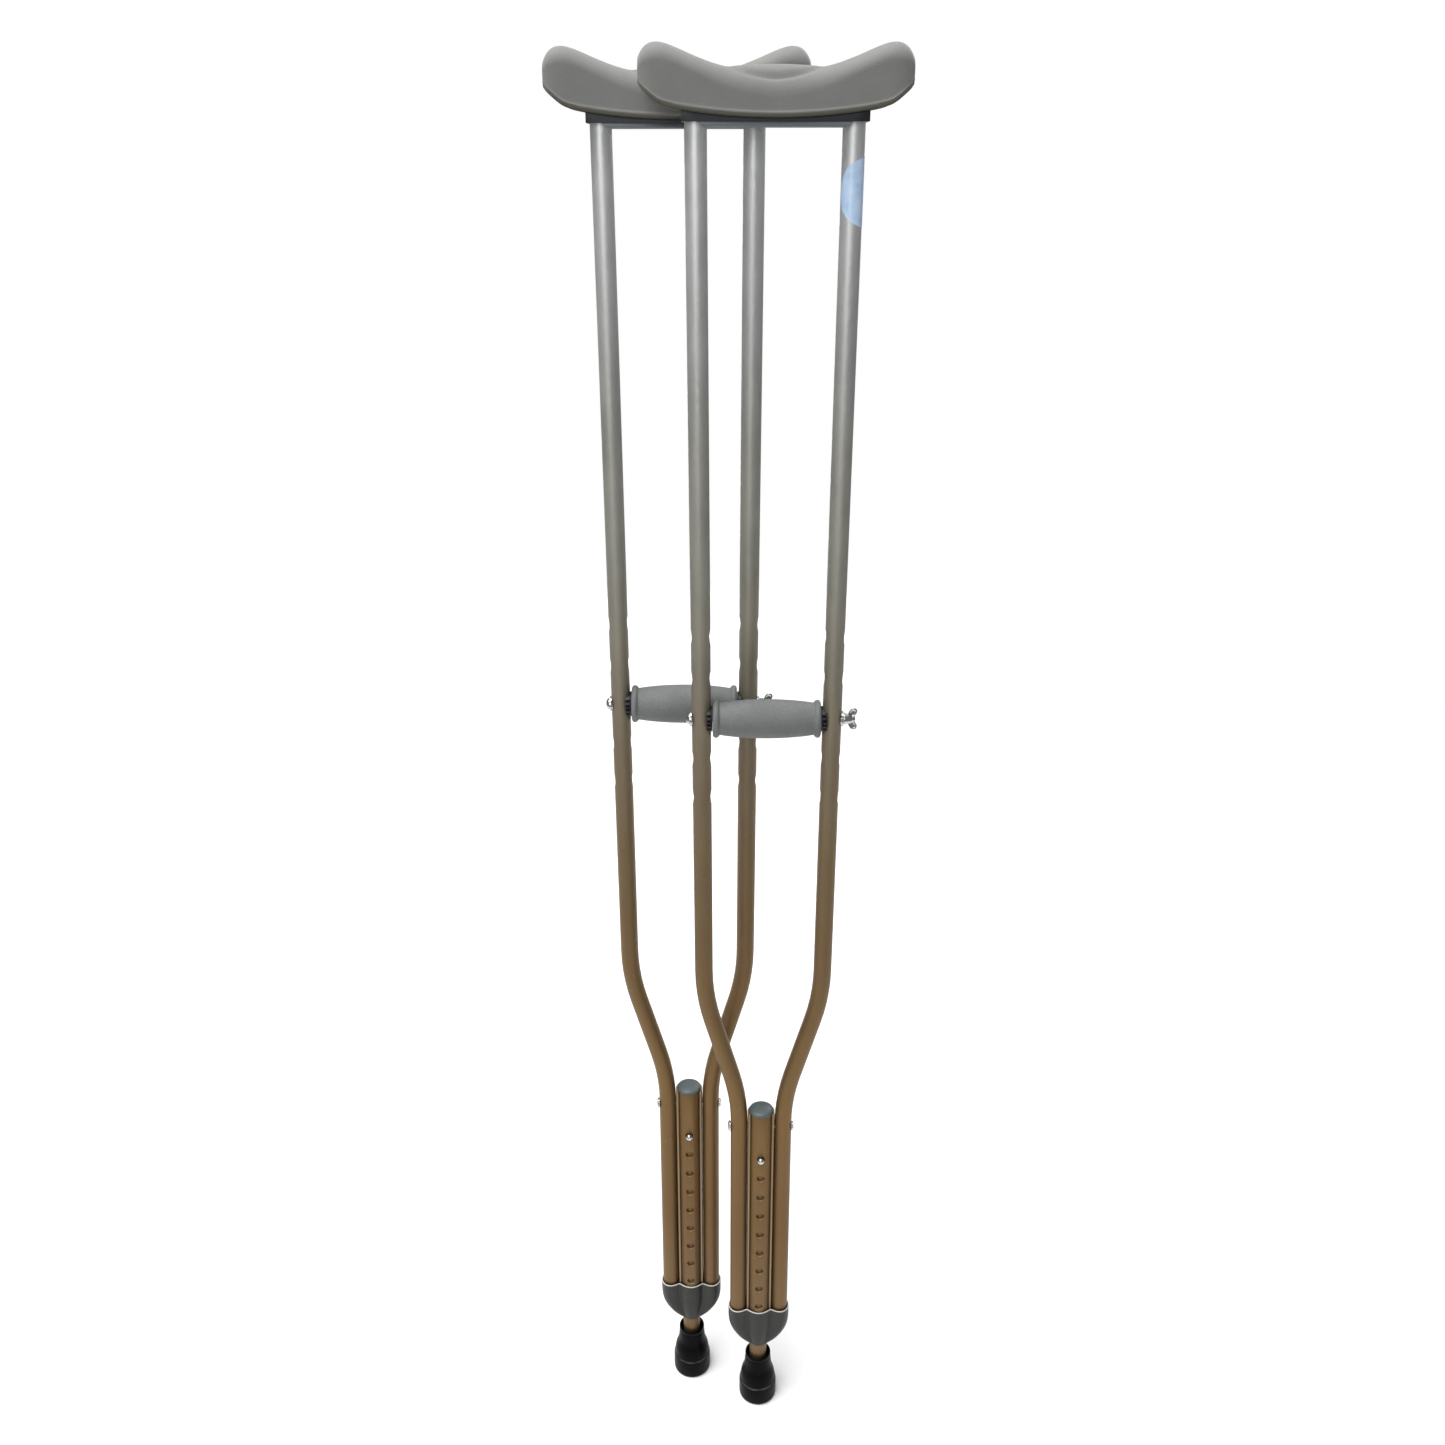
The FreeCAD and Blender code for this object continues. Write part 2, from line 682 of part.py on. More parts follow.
def snap_spring(label):
    """Bent strip of spring steel: one arm behind the button, the other along the back wall."""
    body = new_body(label)
    centre = size["button_z"]
    outline = new_sketch(body, "StripOutline", "YZ_Plane")
    add_outline(outline, [
        (-6.4, centre + 6), (-5.6, centre + 6), (-5.6, centre - 9), (-0.6, centre - 44),
        (1.9, centre - 46, 3.6, centre - 44.6), (4.2, centre - 42), (6.8, centre + 10), (7.6, centre + 10),
        (5.1, centre - 42.4, 4.2, centre - 45.4), (1.9, centre - 47), (-1.3, centre - 44.6), (-6.4, centre - 9.3),
    ])
    extrude(body, "Pad", outline, "Strip", 6.6, symmetric=True)
    return body


def snap_button(label):
    body = new_body(label)
    profile = new_sketch(body, "ButtonProfile", "XY_Plane")
    add_outline(profile, [
        (0, -6.5),
        (4.0, -6.5),
        (4.0, -15.6, 3.0, -17.6),
        (0.9, -18.4),
        (0, -18.4),
    ])
    turn(body, "Revolution", profile, "Button", "V_Axis")
    return body


def rubber_tip(label):
    """Flared foot with an open neck for the leg and a groove for the steel washer."""
    body = new_body(label)
    profile = new_sketch(body, "TipProfile", "XZ_Plane")
    top = size["tip_top"]
    add_outline(profile, [
        (0, 1.6),
        (14.0, 1.6),
        (14.8, 0),
        (20.6, 0, 22.3, 1.2),
        ("tip_radius", 3.4),
        (22.4, 24.6),
        (21.4, 26.4),
        (21.0, 31.0, 19.6, 38.7),
        (16.9, 45.5),
        (15.7, 56),
        (15.3, top - 1.2),
        (14.5, "tip_top"),
        (13.5, "tip_top"),
        (12.8, top - 1.5),
        (10.4, top - 13.0),
        (10.4, 12.2),
        (12.2, 12.2),
        (12.2, 10.0),
        (0, 10.0),
    ])
    turn(body, "Revolution", profile, "Tip", "V_Axis")
    return body


def tip_washer(label):
    return cylinder(label, 12.0, 2.0, Vector(0, 0, 10.1), Vector(0, 0, 1))


# ---------------------------------------------------------------- the pair

PARTS = [
    ("underarm_pad", underarm_pad, (), None),
    ("pad_saddle", pad_saddle, (), None),
    ("saddle_pins", saddle_pins, (), None),
    ("left_side_tube", side_tube, (-1,), None),
    ("right_side_tube", side_tube, (1,), None),
    ("grip_sleeve", grip_sleeve, (), "grip_z"),
    ("grip_core", grip_core, (), "grip_z"),
    ("left_grip_ferrule", grip_ferrule, (-1,), "grip_z"),
    ("right_grip_ferrule", grip_ferrule, (1,), "grip_z"),
    ("grip_bolt", grip_bolt, (), "grip_z"),
    ("grip_washers", washer_pair, (BOLT_X + size["tube_radius"] + 0.1, 3.4, 7.6, 1.5), "grip_z"),
    ("wing_nut", wing_nut, (), "grip_z"),
    ("centre_extrusion", centre_extrusion, (), None),
    ("extrusion_cap", extrusion_cap, (), None),
    ("frame_bolt", frame_bolt, (), "frame_bolt_z"),
    ("frame_washers", washer_pair,
     (size["tube_foot_x"] + size["tube_radius"] + 0.1, 3.1, 5.3, 0.6), "frame_bolt_z"),
    ("frame_nut", frame_nut, (), "frame_bolt_z"),
    ("bottom_collar", bottom_collar, (), None),
    ("leg_guide_bush", leg_guide_bush, (), None),
    ("leg_tube", leg_tube, (), None),
    ("leg_top_plug", leg_top_plug, (), None),
    ("snap_spring", snap_spring, (), None),
    ("snap_button", snap_button, (), "button_z"),
    ("rubber_tip", rubber_tip, (), None),
    ("tip_washer", tip_washer, (), None),
]


def stand(item, crutch, height):
    """Moves one finished piece to its crutch's axis, at its own height."""
    base = item.Placement.Base
    base = Vector(base.x, base.y, base.z)
    item.Placement.Base = base
    for axis, own in (("x", base.x), ("y", base.y)):
        item.setExpression("Placement.Base." + axis,
                           "Dimensions.%s_axis_%s + %.6f" % (crutch, axis, own))
    if height:
        item.setExpression("Placement.Base.z", "Dimensions.%s + %.6f" % (height, base.z))


nodes = []
for crutch in ("front", "rear"):
    for name, build, arguments, height in PARTS:
        item = build(crutch + "_" + name, *arguments)
        item.Label = crutch + "_" + name
        doc.recompute()
        stand(item, crutch, height)
        nodes.append(item)
blank_label = round_label("front_round_label")
stand(blank_label, "front", None)
nodes.append(blank_label)
doc.recompute()

for thing in doc.Objects:
    if "Invalid" in thing.State or "Error" in thing.State:
        raise RuntimeError("feature failed: " + thing.Label)

os.makedirs("parts", exist_ok=True)
for item in nodes:
    shape = item.Shape
    if shape.isNull() or not shape.isValid() or shape.Volume <= 0:
        raise RuntimeError("bad shape: " + item.Label)
    shape.exportStep(os.path.join("parts", item.Label + ".step"))
    box = shape.BoundBox
    print("%-26s solids %d  x %8.2f %8.2f  y %7.2f %7.2f  z %8.2f %8.2f" % (
        item.Label, len(shape.Solids), box.XMin, box.XMax, box.YMin, box.YMax, box.ZMin, box.ZMax))
print("wrote", len(nodes), "pieces")
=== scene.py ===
# %% [markdown]
# # A pair of underarm crutches
# This lesson dresses a measured model of two aluminium underarm crutches. The tubes, bolts and leg come
# from the engineering model and stay exactly where they are. The soft and moulded pieces (pads, grips,
# rubber feet, collars, wing nuts) are modelled here, in the places the engineering model gives.

import json
import math

import bpy
import numpy as np
from mathutils import Matrix, Vector

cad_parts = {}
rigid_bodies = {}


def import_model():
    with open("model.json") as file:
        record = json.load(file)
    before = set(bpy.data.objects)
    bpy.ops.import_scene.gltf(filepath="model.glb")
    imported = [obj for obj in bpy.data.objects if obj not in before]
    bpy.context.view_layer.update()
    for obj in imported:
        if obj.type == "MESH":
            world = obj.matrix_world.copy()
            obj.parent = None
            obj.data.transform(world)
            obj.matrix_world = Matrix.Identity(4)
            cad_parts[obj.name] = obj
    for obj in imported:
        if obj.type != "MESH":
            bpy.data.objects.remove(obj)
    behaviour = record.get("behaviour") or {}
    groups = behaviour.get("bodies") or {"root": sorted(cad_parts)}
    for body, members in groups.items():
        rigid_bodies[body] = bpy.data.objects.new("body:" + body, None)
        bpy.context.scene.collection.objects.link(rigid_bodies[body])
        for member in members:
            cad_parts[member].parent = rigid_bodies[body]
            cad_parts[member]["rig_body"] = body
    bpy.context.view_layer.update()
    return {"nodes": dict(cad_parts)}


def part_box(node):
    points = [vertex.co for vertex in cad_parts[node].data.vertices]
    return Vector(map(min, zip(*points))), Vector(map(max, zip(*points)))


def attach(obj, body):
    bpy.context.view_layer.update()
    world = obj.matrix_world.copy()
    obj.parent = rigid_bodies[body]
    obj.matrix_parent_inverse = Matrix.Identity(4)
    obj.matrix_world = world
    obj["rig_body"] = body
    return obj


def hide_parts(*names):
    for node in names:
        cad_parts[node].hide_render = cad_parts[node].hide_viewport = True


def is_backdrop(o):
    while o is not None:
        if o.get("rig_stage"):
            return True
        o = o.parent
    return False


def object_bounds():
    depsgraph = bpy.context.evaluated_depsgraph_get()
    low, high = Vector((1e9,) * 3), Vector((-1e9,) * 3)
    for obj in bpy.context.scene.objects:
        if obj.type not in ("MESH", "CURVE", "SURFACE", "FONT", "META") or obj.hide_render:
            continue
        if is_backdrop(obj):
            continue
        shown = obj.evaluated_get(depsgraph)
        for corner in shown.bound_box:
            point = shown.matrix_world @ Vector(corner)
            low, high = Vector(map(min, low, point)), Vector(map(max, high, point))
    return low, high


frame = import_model()

# %% [markdown]
# Sizes on the engineering side are in millimetres, and Blender works in metres. Colours are easiest to
# judge as screen values from 0 to 255, but shaders add up light, so they need linear values.
# Two small helpers keep both conversions in one place.

# %% Units and colours
MM = 0.001


def screen(red, green, blue):
    """Screen colour 0-255 as the linear colour a shader wants."""
    def straight(value):
        value /= 255
        return value / 12.92 if value <= 0.04045 else ((value + 0.055) / 1.055) ** 2.4
    return (straight(red), straight(green), straight(blue), 1.0)


GRIP_LEVEL = 907.0  # height of the grip bolt's axis
BUTTON_LEVEL = 372.0  # height of the snap button and of the top height hole
CRUTCHES = ("front", "rear")
AXIS = {}
for crutch in CRUTCHES:
    low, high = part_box(crutch + "_leg_tube")
    AXIS[crutch] = Vector(((low.x + high.x) / 2, (low.y + high.y) / 2, 0))
    print(crutch, "crutch axis at", [round(v, 4) for v in AXIS[crutch]])

# %% [markdown]
# The camera stands a little below the pads and looks down towards the feet, so the tubes converge
# downwards. It is placed once, before anything else, so that every later choice is seen from there.

# %% Camera
camera_data = bpy.data.cameras.new("camera")
camera_data.sensor_width = 36.0
camera_data.lens = 32.98
camera_data.clip_end = 60.0
camera = bpy.data.objects.new("camera", camera_data)
bpy.context.scene.collection.objects.link(camera)
camera.location = (-0.0025, -1.226, 1.405)
camera.rotation_euler = (math.radians(90 - 22.6), 0, 0)
bpy.context.scene.camera = camera
print("camera at", tuple(round(v, 3) for v in camera.location))

# %% [markdown]
# A studio for metal needs something to reflect. A wide softbox overhead gives the pads their bright tops,
# a tall strip in front, a little to the left, draws a long highlight down each tube, and the sides are
# left dim so that every tube turns from light to dark. A smaller softbox behind picks out the edges, and
# a broad, soft sun stands in for a bright ceiling.

# %% Studio lights
def softbox(name, place, target, width, height, power, colour=(1, 1, 1)):
    light = bpy.data.lights.new(name, "AREA")
    light.shape = "RECTANGLE"
    light.size = width
    light.size_y = height
    light.energy = power
    light.color = colour
    holder = bpy.data.objects.new(name, light)
    bpy.context.scene.collection.objects.link(holder)
    holder.location = place
    direction = Vector(target) - Vector(place)
    holder.rotation_euler = direction.to_track_quat("-Z", "Y").to_euler()


softbox("overhead", (-0.3, 0.3, 3.4), (0, 0.2, 0.9), 2.4, 2.4, 34)
softbox("front_strip", (-0.75, -3.0, 2.1), (0, 0, 1.2), 1.5, 2.2, 40)
softbox("back_rim", (1.4, 2.4, 2.4), (0, 0, 0.9), 1.2, 1.2, 20)
sun = bpy.data.lights.new("ceiling_glow", "SUN")
sun.energy = 3.3
sun.angle = math.radians(40)
sun_holder = bpy.data.objects.new("ceiling_glow", sun)
sun_holder.rotation_euler = (math.radians(8), math.radians(-18), 0)
bpy.context.scene.collection.objects.link(sun_holder)

# %% [markdown]
# The world gives a faint even light from all round, while the camera itself sees plain white behind the
# crutches.

# %% Sky and floor
world = bpy.data.worlds.new("studio")
bpy.context.scene.world = world
world.use_nodes = True
sky = world.node_tree
background = sky.nodes["Background"]
background.inputs["Color"].default_value = (0.93, 0.95, 1.0, 1)
background.inputs["Strength"].default_value = 0.22
bright = sky.nodes.new("ShaderNodeBackground")
bright.inputs["Color"].default_value = (1, 1, 1, 1)
bright.inputs["Strength"].default_value = 1.0
seen = sky.nodes.new("ShaderNodeLightPath")
either = sky.nodes.new("ShaderNodeMixShader")
sky.links.new(seen.outputs["Is Camera Ray"], either.inputs["Fac"])
sky.links.new(background.outputs["Background"], either.inputs[1])
sky.links.new(bright.outputs["Background"], either.inputs[2])
sky.links.new(either.outputs["Shader"], sky.nodes["World Output"].inputs["Surface"])
bpy.context.scene.view_settings.view_transform = "Standard"

bpy.ops.object.select_all(action="DESELECT")
bpy.ops.mesh.primitive_circle_add(vertices=96, radius=2.3, fill_type="NGON", location=(0, 1.1, 0))
floor = bpy.context.object
bpy.ops.object.transform_apply(location=True, rotation=True, scale=True)
floor.name = "floor"
floor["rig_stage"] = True
print("floor and sky ready")

# %% [markdown]
# ## Finishes
# Every finish is a small network of nodes. All of them read Object coordinates, so the grain stays put
# on the piece and keeps its real size. The helper `node` adds one node, fills its sockets, and links any
# socket that is handed to it, which keeps each recipe short enough to read.

# %% A helper for node recipes
def node(tree, kind, inputs=None, **settings):
    made = tree.nodes.new("ShaderNode" + kind)
    for key, value in settings.items():
        setattr(made, key, value)
    for key, value in (inputs or {}).items():
        if isinstance(value, bpy.types.NodeSocket):
            tree.links.new(value, made.inputs[key])
        else:
            made.inputs[key].default_value = value
    return made


def new_finish(name, **sockets):
    finish = bpy.data.materials.new(name)
    finish.use_nodes = True
    shader = finish.node_tree.nodes["Principled BSDF"]
    for key, value in sockets.items():
        shader.inputs[key.replace("_", " ")].default_value = value
    return finish, finish.node_tree, shader


def place_of(tree, scale=(1, 1, 1)):
    """Object coordinates, stretched by scale."""
    where = node(tree, "TexCoord")
    stretched = node(tree, "Mapping", {"Vector": where.outputs["Object"], "Scale": scale})
    return stretched.outputs["Vector"]


def noise(tree, place, scale, detail=3.0, roughness=0.5):
    made = node(tree, "TexNoise",
                {"Vector": place, "Scale": scale, "Detail": detail, "Roughness": roughness})
    return made.outputs["Fac"]


def ramp(tree, value, stops):
    """Colour ramp: stops are (position, colour or grey)."""
    made = node(tree, "ValToRGB", {"Fac": value})
    band = made.color_ramp
    while len(band.elements) < len(stops):
        band.elements.new(0.5)
    for element, (position, colour) in zip(band.elements, stops):
        element.position = position
        if isinstance(colour, (int, float)):
            colour = (colour, colour, colour, 1)
        element.color = colour
    return made.outputs["Color"]


def fit(tree, value, low, high, to_low, to_high):
    made = node(tree, "MapRange", {"Value": value, "From Min": low, "From Max": high,
                                   "To Min": to_low, "To Max": to_high})
    return made.outputs["Result"]


def maths(tree, what, first, second=0.0):
    made = node(tree, "Math", {0: first, 1: second}, operation=what)
    return made.outputs["Value"]


def blend_colours(tree, share, first, second, how="MIX"):
    made = node(tree, "Mix", data_type="RGBA", blend_type=how)
    for index, value in ((0, share), (6, first), (7, second)):
        if isinstance(value, bpy.types.NodeSocket):
            tree.links.new(value, made.inputs[index])
        else:
            made.inputs[index].default_value = value
    return made.outputs[2]


def bump(tree, shader, height, distance, strength=1.0, under=None):
    inputs = {"Height": height, "Distance": distance, "Strength": strength}
    if under is not None:
        inputs["Normal"] = under
    made = node(tree, "Bump", inputs)
    tree.links.new(made.outputs["Normal"], shader.inputs["Normal"])


print("node helpers ready")

# %% [markdown]
# ### Anodised tube
# The tubes are drawn aluminium with a satin anodised skin. Drawing leaves very fine lines along the tube,
# and handling leaves soft smudges and a few bright scratches. The colour drifts from cool silver at the
# top to a warm bronze at the foot, and this drift is painted light: the top is painted lighter and cooler as
# if lit from above, and the foot warmer as a painted reflection of the floor. A ramp reads the height of
# each point.

# %% Anodised aluminium
# Painted light: colours from the foot (0) to the top (1), lighter and cooler upwards as if lit from above.
TUBE_PAINTED_LIGHT_RAMP = [
    (0.00, screen(118, 95, 66)), (0.13, screen(112, 86, 53)), (0.24, screen(121, 94, 58)),
    (0.42, screen(117, 95, 66)), (0.49, screen(124, 106, 79)), (0.57, screen(135, 122, 101)),
    (0.65, screen(152, 147, 132)), (0.72, screen(163, 162, 152)), (0.79, screen(172, 171, 163)),
    (0.85, screen(186, 186, 183)), (0.92, screen(204, 204, 202)), (1.00, screen(222, 222, 221)),
]


def anodised_aluminium():
    finish, tree, shader = new_finish("anodised_aluminium", Metallic=0.75, Roughness=0.44)
    where = node(tree, "TexCoord").outputs["Object"]
    height = node(tree, "SeparateXYZ", {"Vector": where}).outputs["Z"]
    share = fit(tree, height, 0.08, 1.46, 0.0, 1.0)
    # Painted light: the tube's colour follows its height.
    drift = ramp(tree, share, TUBE_PAINTED_LIGHT_RAMP)
    drawn = noise(tree, place_of(tree, (1400, 1400, 14)), 1.0, 2.0)
    smudge = noise(tree, place_of(tree, (1, 1, 0.45)), 34.0, 4.0, 0.6)
    fleck = noise(tree, place_of(tree, (1, 1, 0.3)), 420.0, 2.0, 0.7)
    tone = ramp(tree, smudge, [(0.25, 0.90), (0.55, 1.0), (0.8, 1.06)])
    colour = blend_colours(tree, 1.0, drift, tone, "MULTIPLY")
    lines = ramp(tree, drawn, [(0.3, 0.955), (0.7, 1.03)])
    colour = blend_colours(tree, 1.0, colour, lines, "MULTIPLY")
    scratch = ramp(tree, fleck, [(0.735, 0.0), (0.77, 1.0)])
    colour = blend_colours(tree, maths(tree, "MULTIPLY", scratch, 0.22), colour, screen(236, 232, 224))
    # Wear and painted light: pale fin edges (wear and painted highlight) and pale hole walls (painted light).
    wear_and_painted_light = node(tree, "Attribute", attribute_name="wear_and_painted_light").outputs["Fac"]
    colour = blend_colours(tree, maths(tree, "MULTIPLY", wear_and_painted_light, 0.7), colour, screen(176, 158, 130))
    tree.links.new(colour, shader.inputs["Base Color"])
    rough = maths(tree, "ADD", fit(tree, smudge, 0.2, 0.8, 0.43, 0.58),
                  maths(tree, "MULTIPLY", drawn, 0.05))
    tree.links.new(rough, shader.inputs["Roughness"])
    bump(tree, shader, drawn, 0.00004, 0.6)
    return finish


tube_finish = anodised_aluminium()
print("finish:", tube_finish.name)

# %% [markdown]
# ### Moulded plastics
# The crosspiece, collar, cap and end pieces are injection moulded. Mould texture is a fine, even grain,
# the colour is nearly flat with slow cloudy drift, and scuffs go paler. An edge marked by an attribute is
# painted paler too, as a painted highlight; only the crosspiece's lower ledge is marked.
# One recipe takes the colours and the grain size, so each plastic differs only in its numbers.

# %% Moulded plastic
def moulded_plastic(name, colour, pale, rough, grain, depth, scuff=0.12):
    finish, tree, shader = new_finish(name, Roughness=rough)
    shader.inputs["Specular IOR Level"].default_value = 0.28
    place = place_of(tree)
    cloud = noise(tree, place, 26.0, 4.0, 0.6)
    skin = noise(tree, place, grain, 2.0, 0.6)
    marks = noise(tree, place_of(tree, (1, 1, 0.35)), 240.0, 3.0, 0.75)
    base = blend_colours(tree, fit(tree, cloud, 0.3, 0.75, 0.0, 0.55), colour, pale)
    rub = maths(tree, "MULTIPLY", ramp(tree, marks, [(0.66, 0.0), (0.74, 1.0)]), scuff)
    base = blend_colours(tree, rub, base, screen(150, 150, 146))
    # Painted highlight: an edge marked by the attribute (the crosspiece's ledge) is painted paler.
    wear_and_painted_light = node(tree, "Attribute", attribute_name="wear_and_painted_light").outputs["Fac"]
    base = blend_colours(tree, maths(tree, "MULTIPLY", wear_and_painted_light, 0.8), base, screen(104, 109, 112))
    tree.links.new(base, shader.inputs["Base Color"])
    tree.links.new(fit(tree, cloud, 0.2, 0.8, rough - 0.07, rough + 0.09), shader.inputs["Roughness"])
    bump(tree, shader, skin, depth, 0.8)
    return finish


saddle_finish = moulded_plastic("crosspiece_plastic", screen(30, 34, 36), screen(42, 46, 49),
                                rough=0.42, grain=900.0, depth=0.00008)
black_finish = moulded_plastic("black_plastic", screen(26, 26, 26), screen(40, 40, 40),
                               rough=0.4, grain=900.0, depth=0.00008, scuff=0.2)
cap_finish = moulded_plastic("slate_plastic", screen(74, 82, 83), screen(92, 100, 101),
                             rough=0.36, grain=700.0, depth=0.00006)
print("plastics:", saddle_finish.name, black_finish.name, cap_finish.name)

# %% [markdown]
# ### Collar plastic
# The collar has the same moulded skin, and a thin bright lip round its top edge, a painted highlight where
# the edge catches the light. The lip is painted from an attribute that is written when the collar is
# modelled.

# %% Collar plastic with a painted highlight on its lip
def collar_plastic():
    finish = moulded_plastic("collar_plastic", screen(36, 36, 32), screen(47, 47, 42),
                             rough=0.44, grain=800.0, depth=0.00008)
    tree = finish.node_tree
    shader = tree.nodes["Principled BSDF"]
    lip = node(tree, "Attribute", attribute_name="lip").outputs["Fac"]
    under = shader.inputs["Base Color"].links[0].from_socket
    # Painted highlight: the top rim, marked by the lip attribute, is painted near white.
    colour = blend_colours(tree, maths(tree, "MULTIPLY", lip, 0.95), under, screen(196, 194, 186))
    tree.links.new(colour, shader.inputs["Base Color"])
    return finish


collar_finish = collar_plastic()
print("finish:", collar_finish.name)

# %% [markdown]
# ### Pad foam skin
# The underarm pad is a soft moulded skin: matte, with fine pores and a faint bloom that makes grazing
# light look chalky. Along its lower edge and on its underside, the rolled lip is coloured a darker brown.
# The lip is an attribute too.

# %% Pad skin
def pad_skin():
    finish, tree, shader = new_finish("pad_skin", Roughness=0.72)
    shader.inputs["Sheen Weight"].default_value = 0.25
    shader.inputs["Sheen Roughness"].default_value = 0.6
    shader.inputs["Specular IOR Level"].default_value = 0.3
    place = place_of(tree)
    cloud = noise(tree, place, 14.0, 5.0, 0.62)
    pores = noise(tree, place, 1500.0, 2.0, 0.6)
    dimples = node(tree, "TexVoronoi", {"Vector": place, "Scale": 620.0}).outputs["Distance"]
    colour = ramp(tree, cloud, [(0.25, screen(112, 112, 109)), (0.55, screen(120, 120, 117)),
                                (0.8, screen(127, 127, 123))])
    speck = ramp(tree, pores, [(0.3, 0.93), (0.65, 1.03)])
    colour = blend_colours(tree, 1.0, colour, speck, "MULTIPLY")
    lip = node(tree, "Attribute", attribute_name="lip").outputs["Fac"]
    colour = blend_colours(tree, maths(tree, "MULTIPLY", lip, 0.8), colour, screen(84, 79, 62))
    tree.links.new(colour, shader.inputs["Base Color"])
    tree.links.new(fit(tree, cloud, 0.2, 0.8, 0.66, 0.8), shader.inputs["Roughness"])
    first = node(tree, "Bump", {"Height": pores, "Distance": 0.00012, "Strength": 0.7}).outputs["Normal"]
    bump(tree, shader, dimples, 0.00016, 0.5, under=first)
    return finish


pad_finish = pad_skin()
print("finish:", pad_finish.name)

# %% [markdown]
# ### Grip rubber
# The hand grip has a pebbled, leathery grain so that it doesn't slip. A Voronoi pattern gives closed cells
# like pebbles, and the hollows between them are a little darker, the pebble tops a little lighter.

# %% Grip rubber
def grip_rubber():
    finish, tree, shader = new_finish("grip_rubber", Roughness=0.6)
    shader.inputs["Specular IOR Level"].default_value = 0.35
    place = place_of(tree)
    stir = node(tree, "TexNoise", {"Vector": place, "Scale": 260.0, "Detail": 2.0}).outputs["Color"]
    warped = node(tree, "VectorMath", {0: place, 1: stir}, operation="ADD")
    pebbles = node(tree, "TexVoronoi", {"Vector": place, "Scale": 560.0}).outputs["Distance"]
    fine = noise(tree, warped.outputs["Vector"], 900.0, 3.0, 0.6)
    cloud = noise(tree, place, 30.0, 4.0, 0.6)
    colour = ramp(tree, cloud, [(0.25, screen(108, 110, 109)), (0.55, screen(117, 119, 118)),
                                (0.8, screen(126, 128, 127))])
    hollow = ramp(tree, pebbles, [(0.0, 1.05), (0.55, 0.86)])
    colour = blend_colours(tree, 0.8, colour, blend_colours(tree, 1.0, colour, hollow, "MULTIPLY"))
    tree.links.new(colour, shader.inputs["Base Color"])
    tree.links.new(fit(tree, pebbles, 0.0, 0.6, 0.52, 0.72), shader.inputs["Roughness"])
    high = maths(tree, "SUBTRACT", 1.0, pebbles)
    first = node(tree, "Bump", {"Height": fine, "Distance": 0.00006, "Strength": 0.5}).outputs["Normal"]
    bump(tree, shader, high, 0.0004, 0.6, under=first)
    return finish


grip_finish = grip_rubber()
print("finish:", grip_finish.name)

# %% [markdown]
# ### Rubber of the foot
# The foot is black rubber with a semi-gloss skin, grey dust low down near the floor, and long soft scuffs.
# The narrow ledge above the skirt faces upwards and catches the light, so a grey band is painted on it as
# a highlight, broken up by the scuff pattern.

# %% Tip rubber
def tip_rubber():
    finish, tree, shader = new_finish("tip_rubber", Roughness=0.42)
    shader.inputs["Specular IOR Level"].default_value = 0.05
    where = node(tree, "TexCoord").outputs["Object"]
    height = node(tree, "SeparateXYZ", {"Vector": where}).outputs["Z"]
    cloud = noise(tree, place_of(tree), 60.0, 5.0, 0.65)
    skin = noise(tree, place_of(tree), 1300.0, 2.0, 0.6)
    scuffs = noise(tree, place_of(tree, (1, 1, 4)), 90.0, 3.0, 0.8)
    low = fit(tree, height, 0.0, 0.014, 1.0, 0.0)
    dust = maths(tree, "MULTIPLY", low, fit(tree, cloud, 0.35, 0.75, 0.0, 0.14))
    colour = blend_colours(tree, fit(tree, cloud, 0.3, 0.8, 0.0, 0.4), screen(3, 3, 3), screen(9, 9, 9))
    colour = blend_colours(tree, dust, colour, screen(70, 67, 62))
    rub = maths(tree, "MULTIPLY", ramp(tree, scuffs, [(0.62, 0.0), (0.74, 1.0)]), 0.08)
    colour = blend_colours(tree, rub, colour, screen(86, 84, 82))
    # Painted highlight: a grey band on the upward-facing ledge, broken up by the scuff noise.
    ledge = maths(tree, "MULTIPLY", fit(tree, height, 0.0236, 0.0248, 0.0, 1.0),
                  fit(tree, height, 0.0258, 0.0266, 1.0, 0.0))
    painted_ledge_highlight = maths(tree, "MULTIPLY", ledge, fit(tree, scuffs, 0.4, 0.66, 0.15, 0.75))
    colour = blend_colours(tree, painted_ledge_highlight, colour, screen(84, 84, 84))
    tree.links.new(colour, shader.inputs["Base Color"])
    tree.links.new(fit(tree, cloud, 0.25, 0.8, 0.26, 0.48), shader.inputs["Roughness"])
    bump(tree, shader, skin, 0.00009, 0.7)
    return finish


tip_finish = tip_rubber()
print("finish:", tip_finish.name)

# %% [markdown]
# ### Bright steel and the label
# Nuts, bolts and the snap button are bright zinc-plated steel: a clean metal with slight brushing and dull
# spots. The round label is a smooth film. It is left blank, with only a faint cloudy drift in its blue.

# %% Plated steel and label film
def plated_steel():
    finish, tree, shader = new_finish("plated_steel", Metallic=1.0, Roughness=0.24)
    spots = noise(tree, place_of(tree), 180.0, 4.0, 0.65)
    fine = noise(tree, place_of(tree, (1, 1, 6)), 1500.0, 2.0)
    colour = ramp(tree, spots, [(0.25, screen(166, 165, 160)), (0.6, screen(194, 194, 191)),
                                (0.85, screen(212, 212, 210))])
    tree.links.new(colour, shader.inputs["Base Color"])
    tree.links.new(fit(tree, spots, 0.2, 0.8, 0.36, 0.17), shader.inputs["Roughness"])
    bump(tree, shader, fine, 0.00003, 0.4)
    return finish


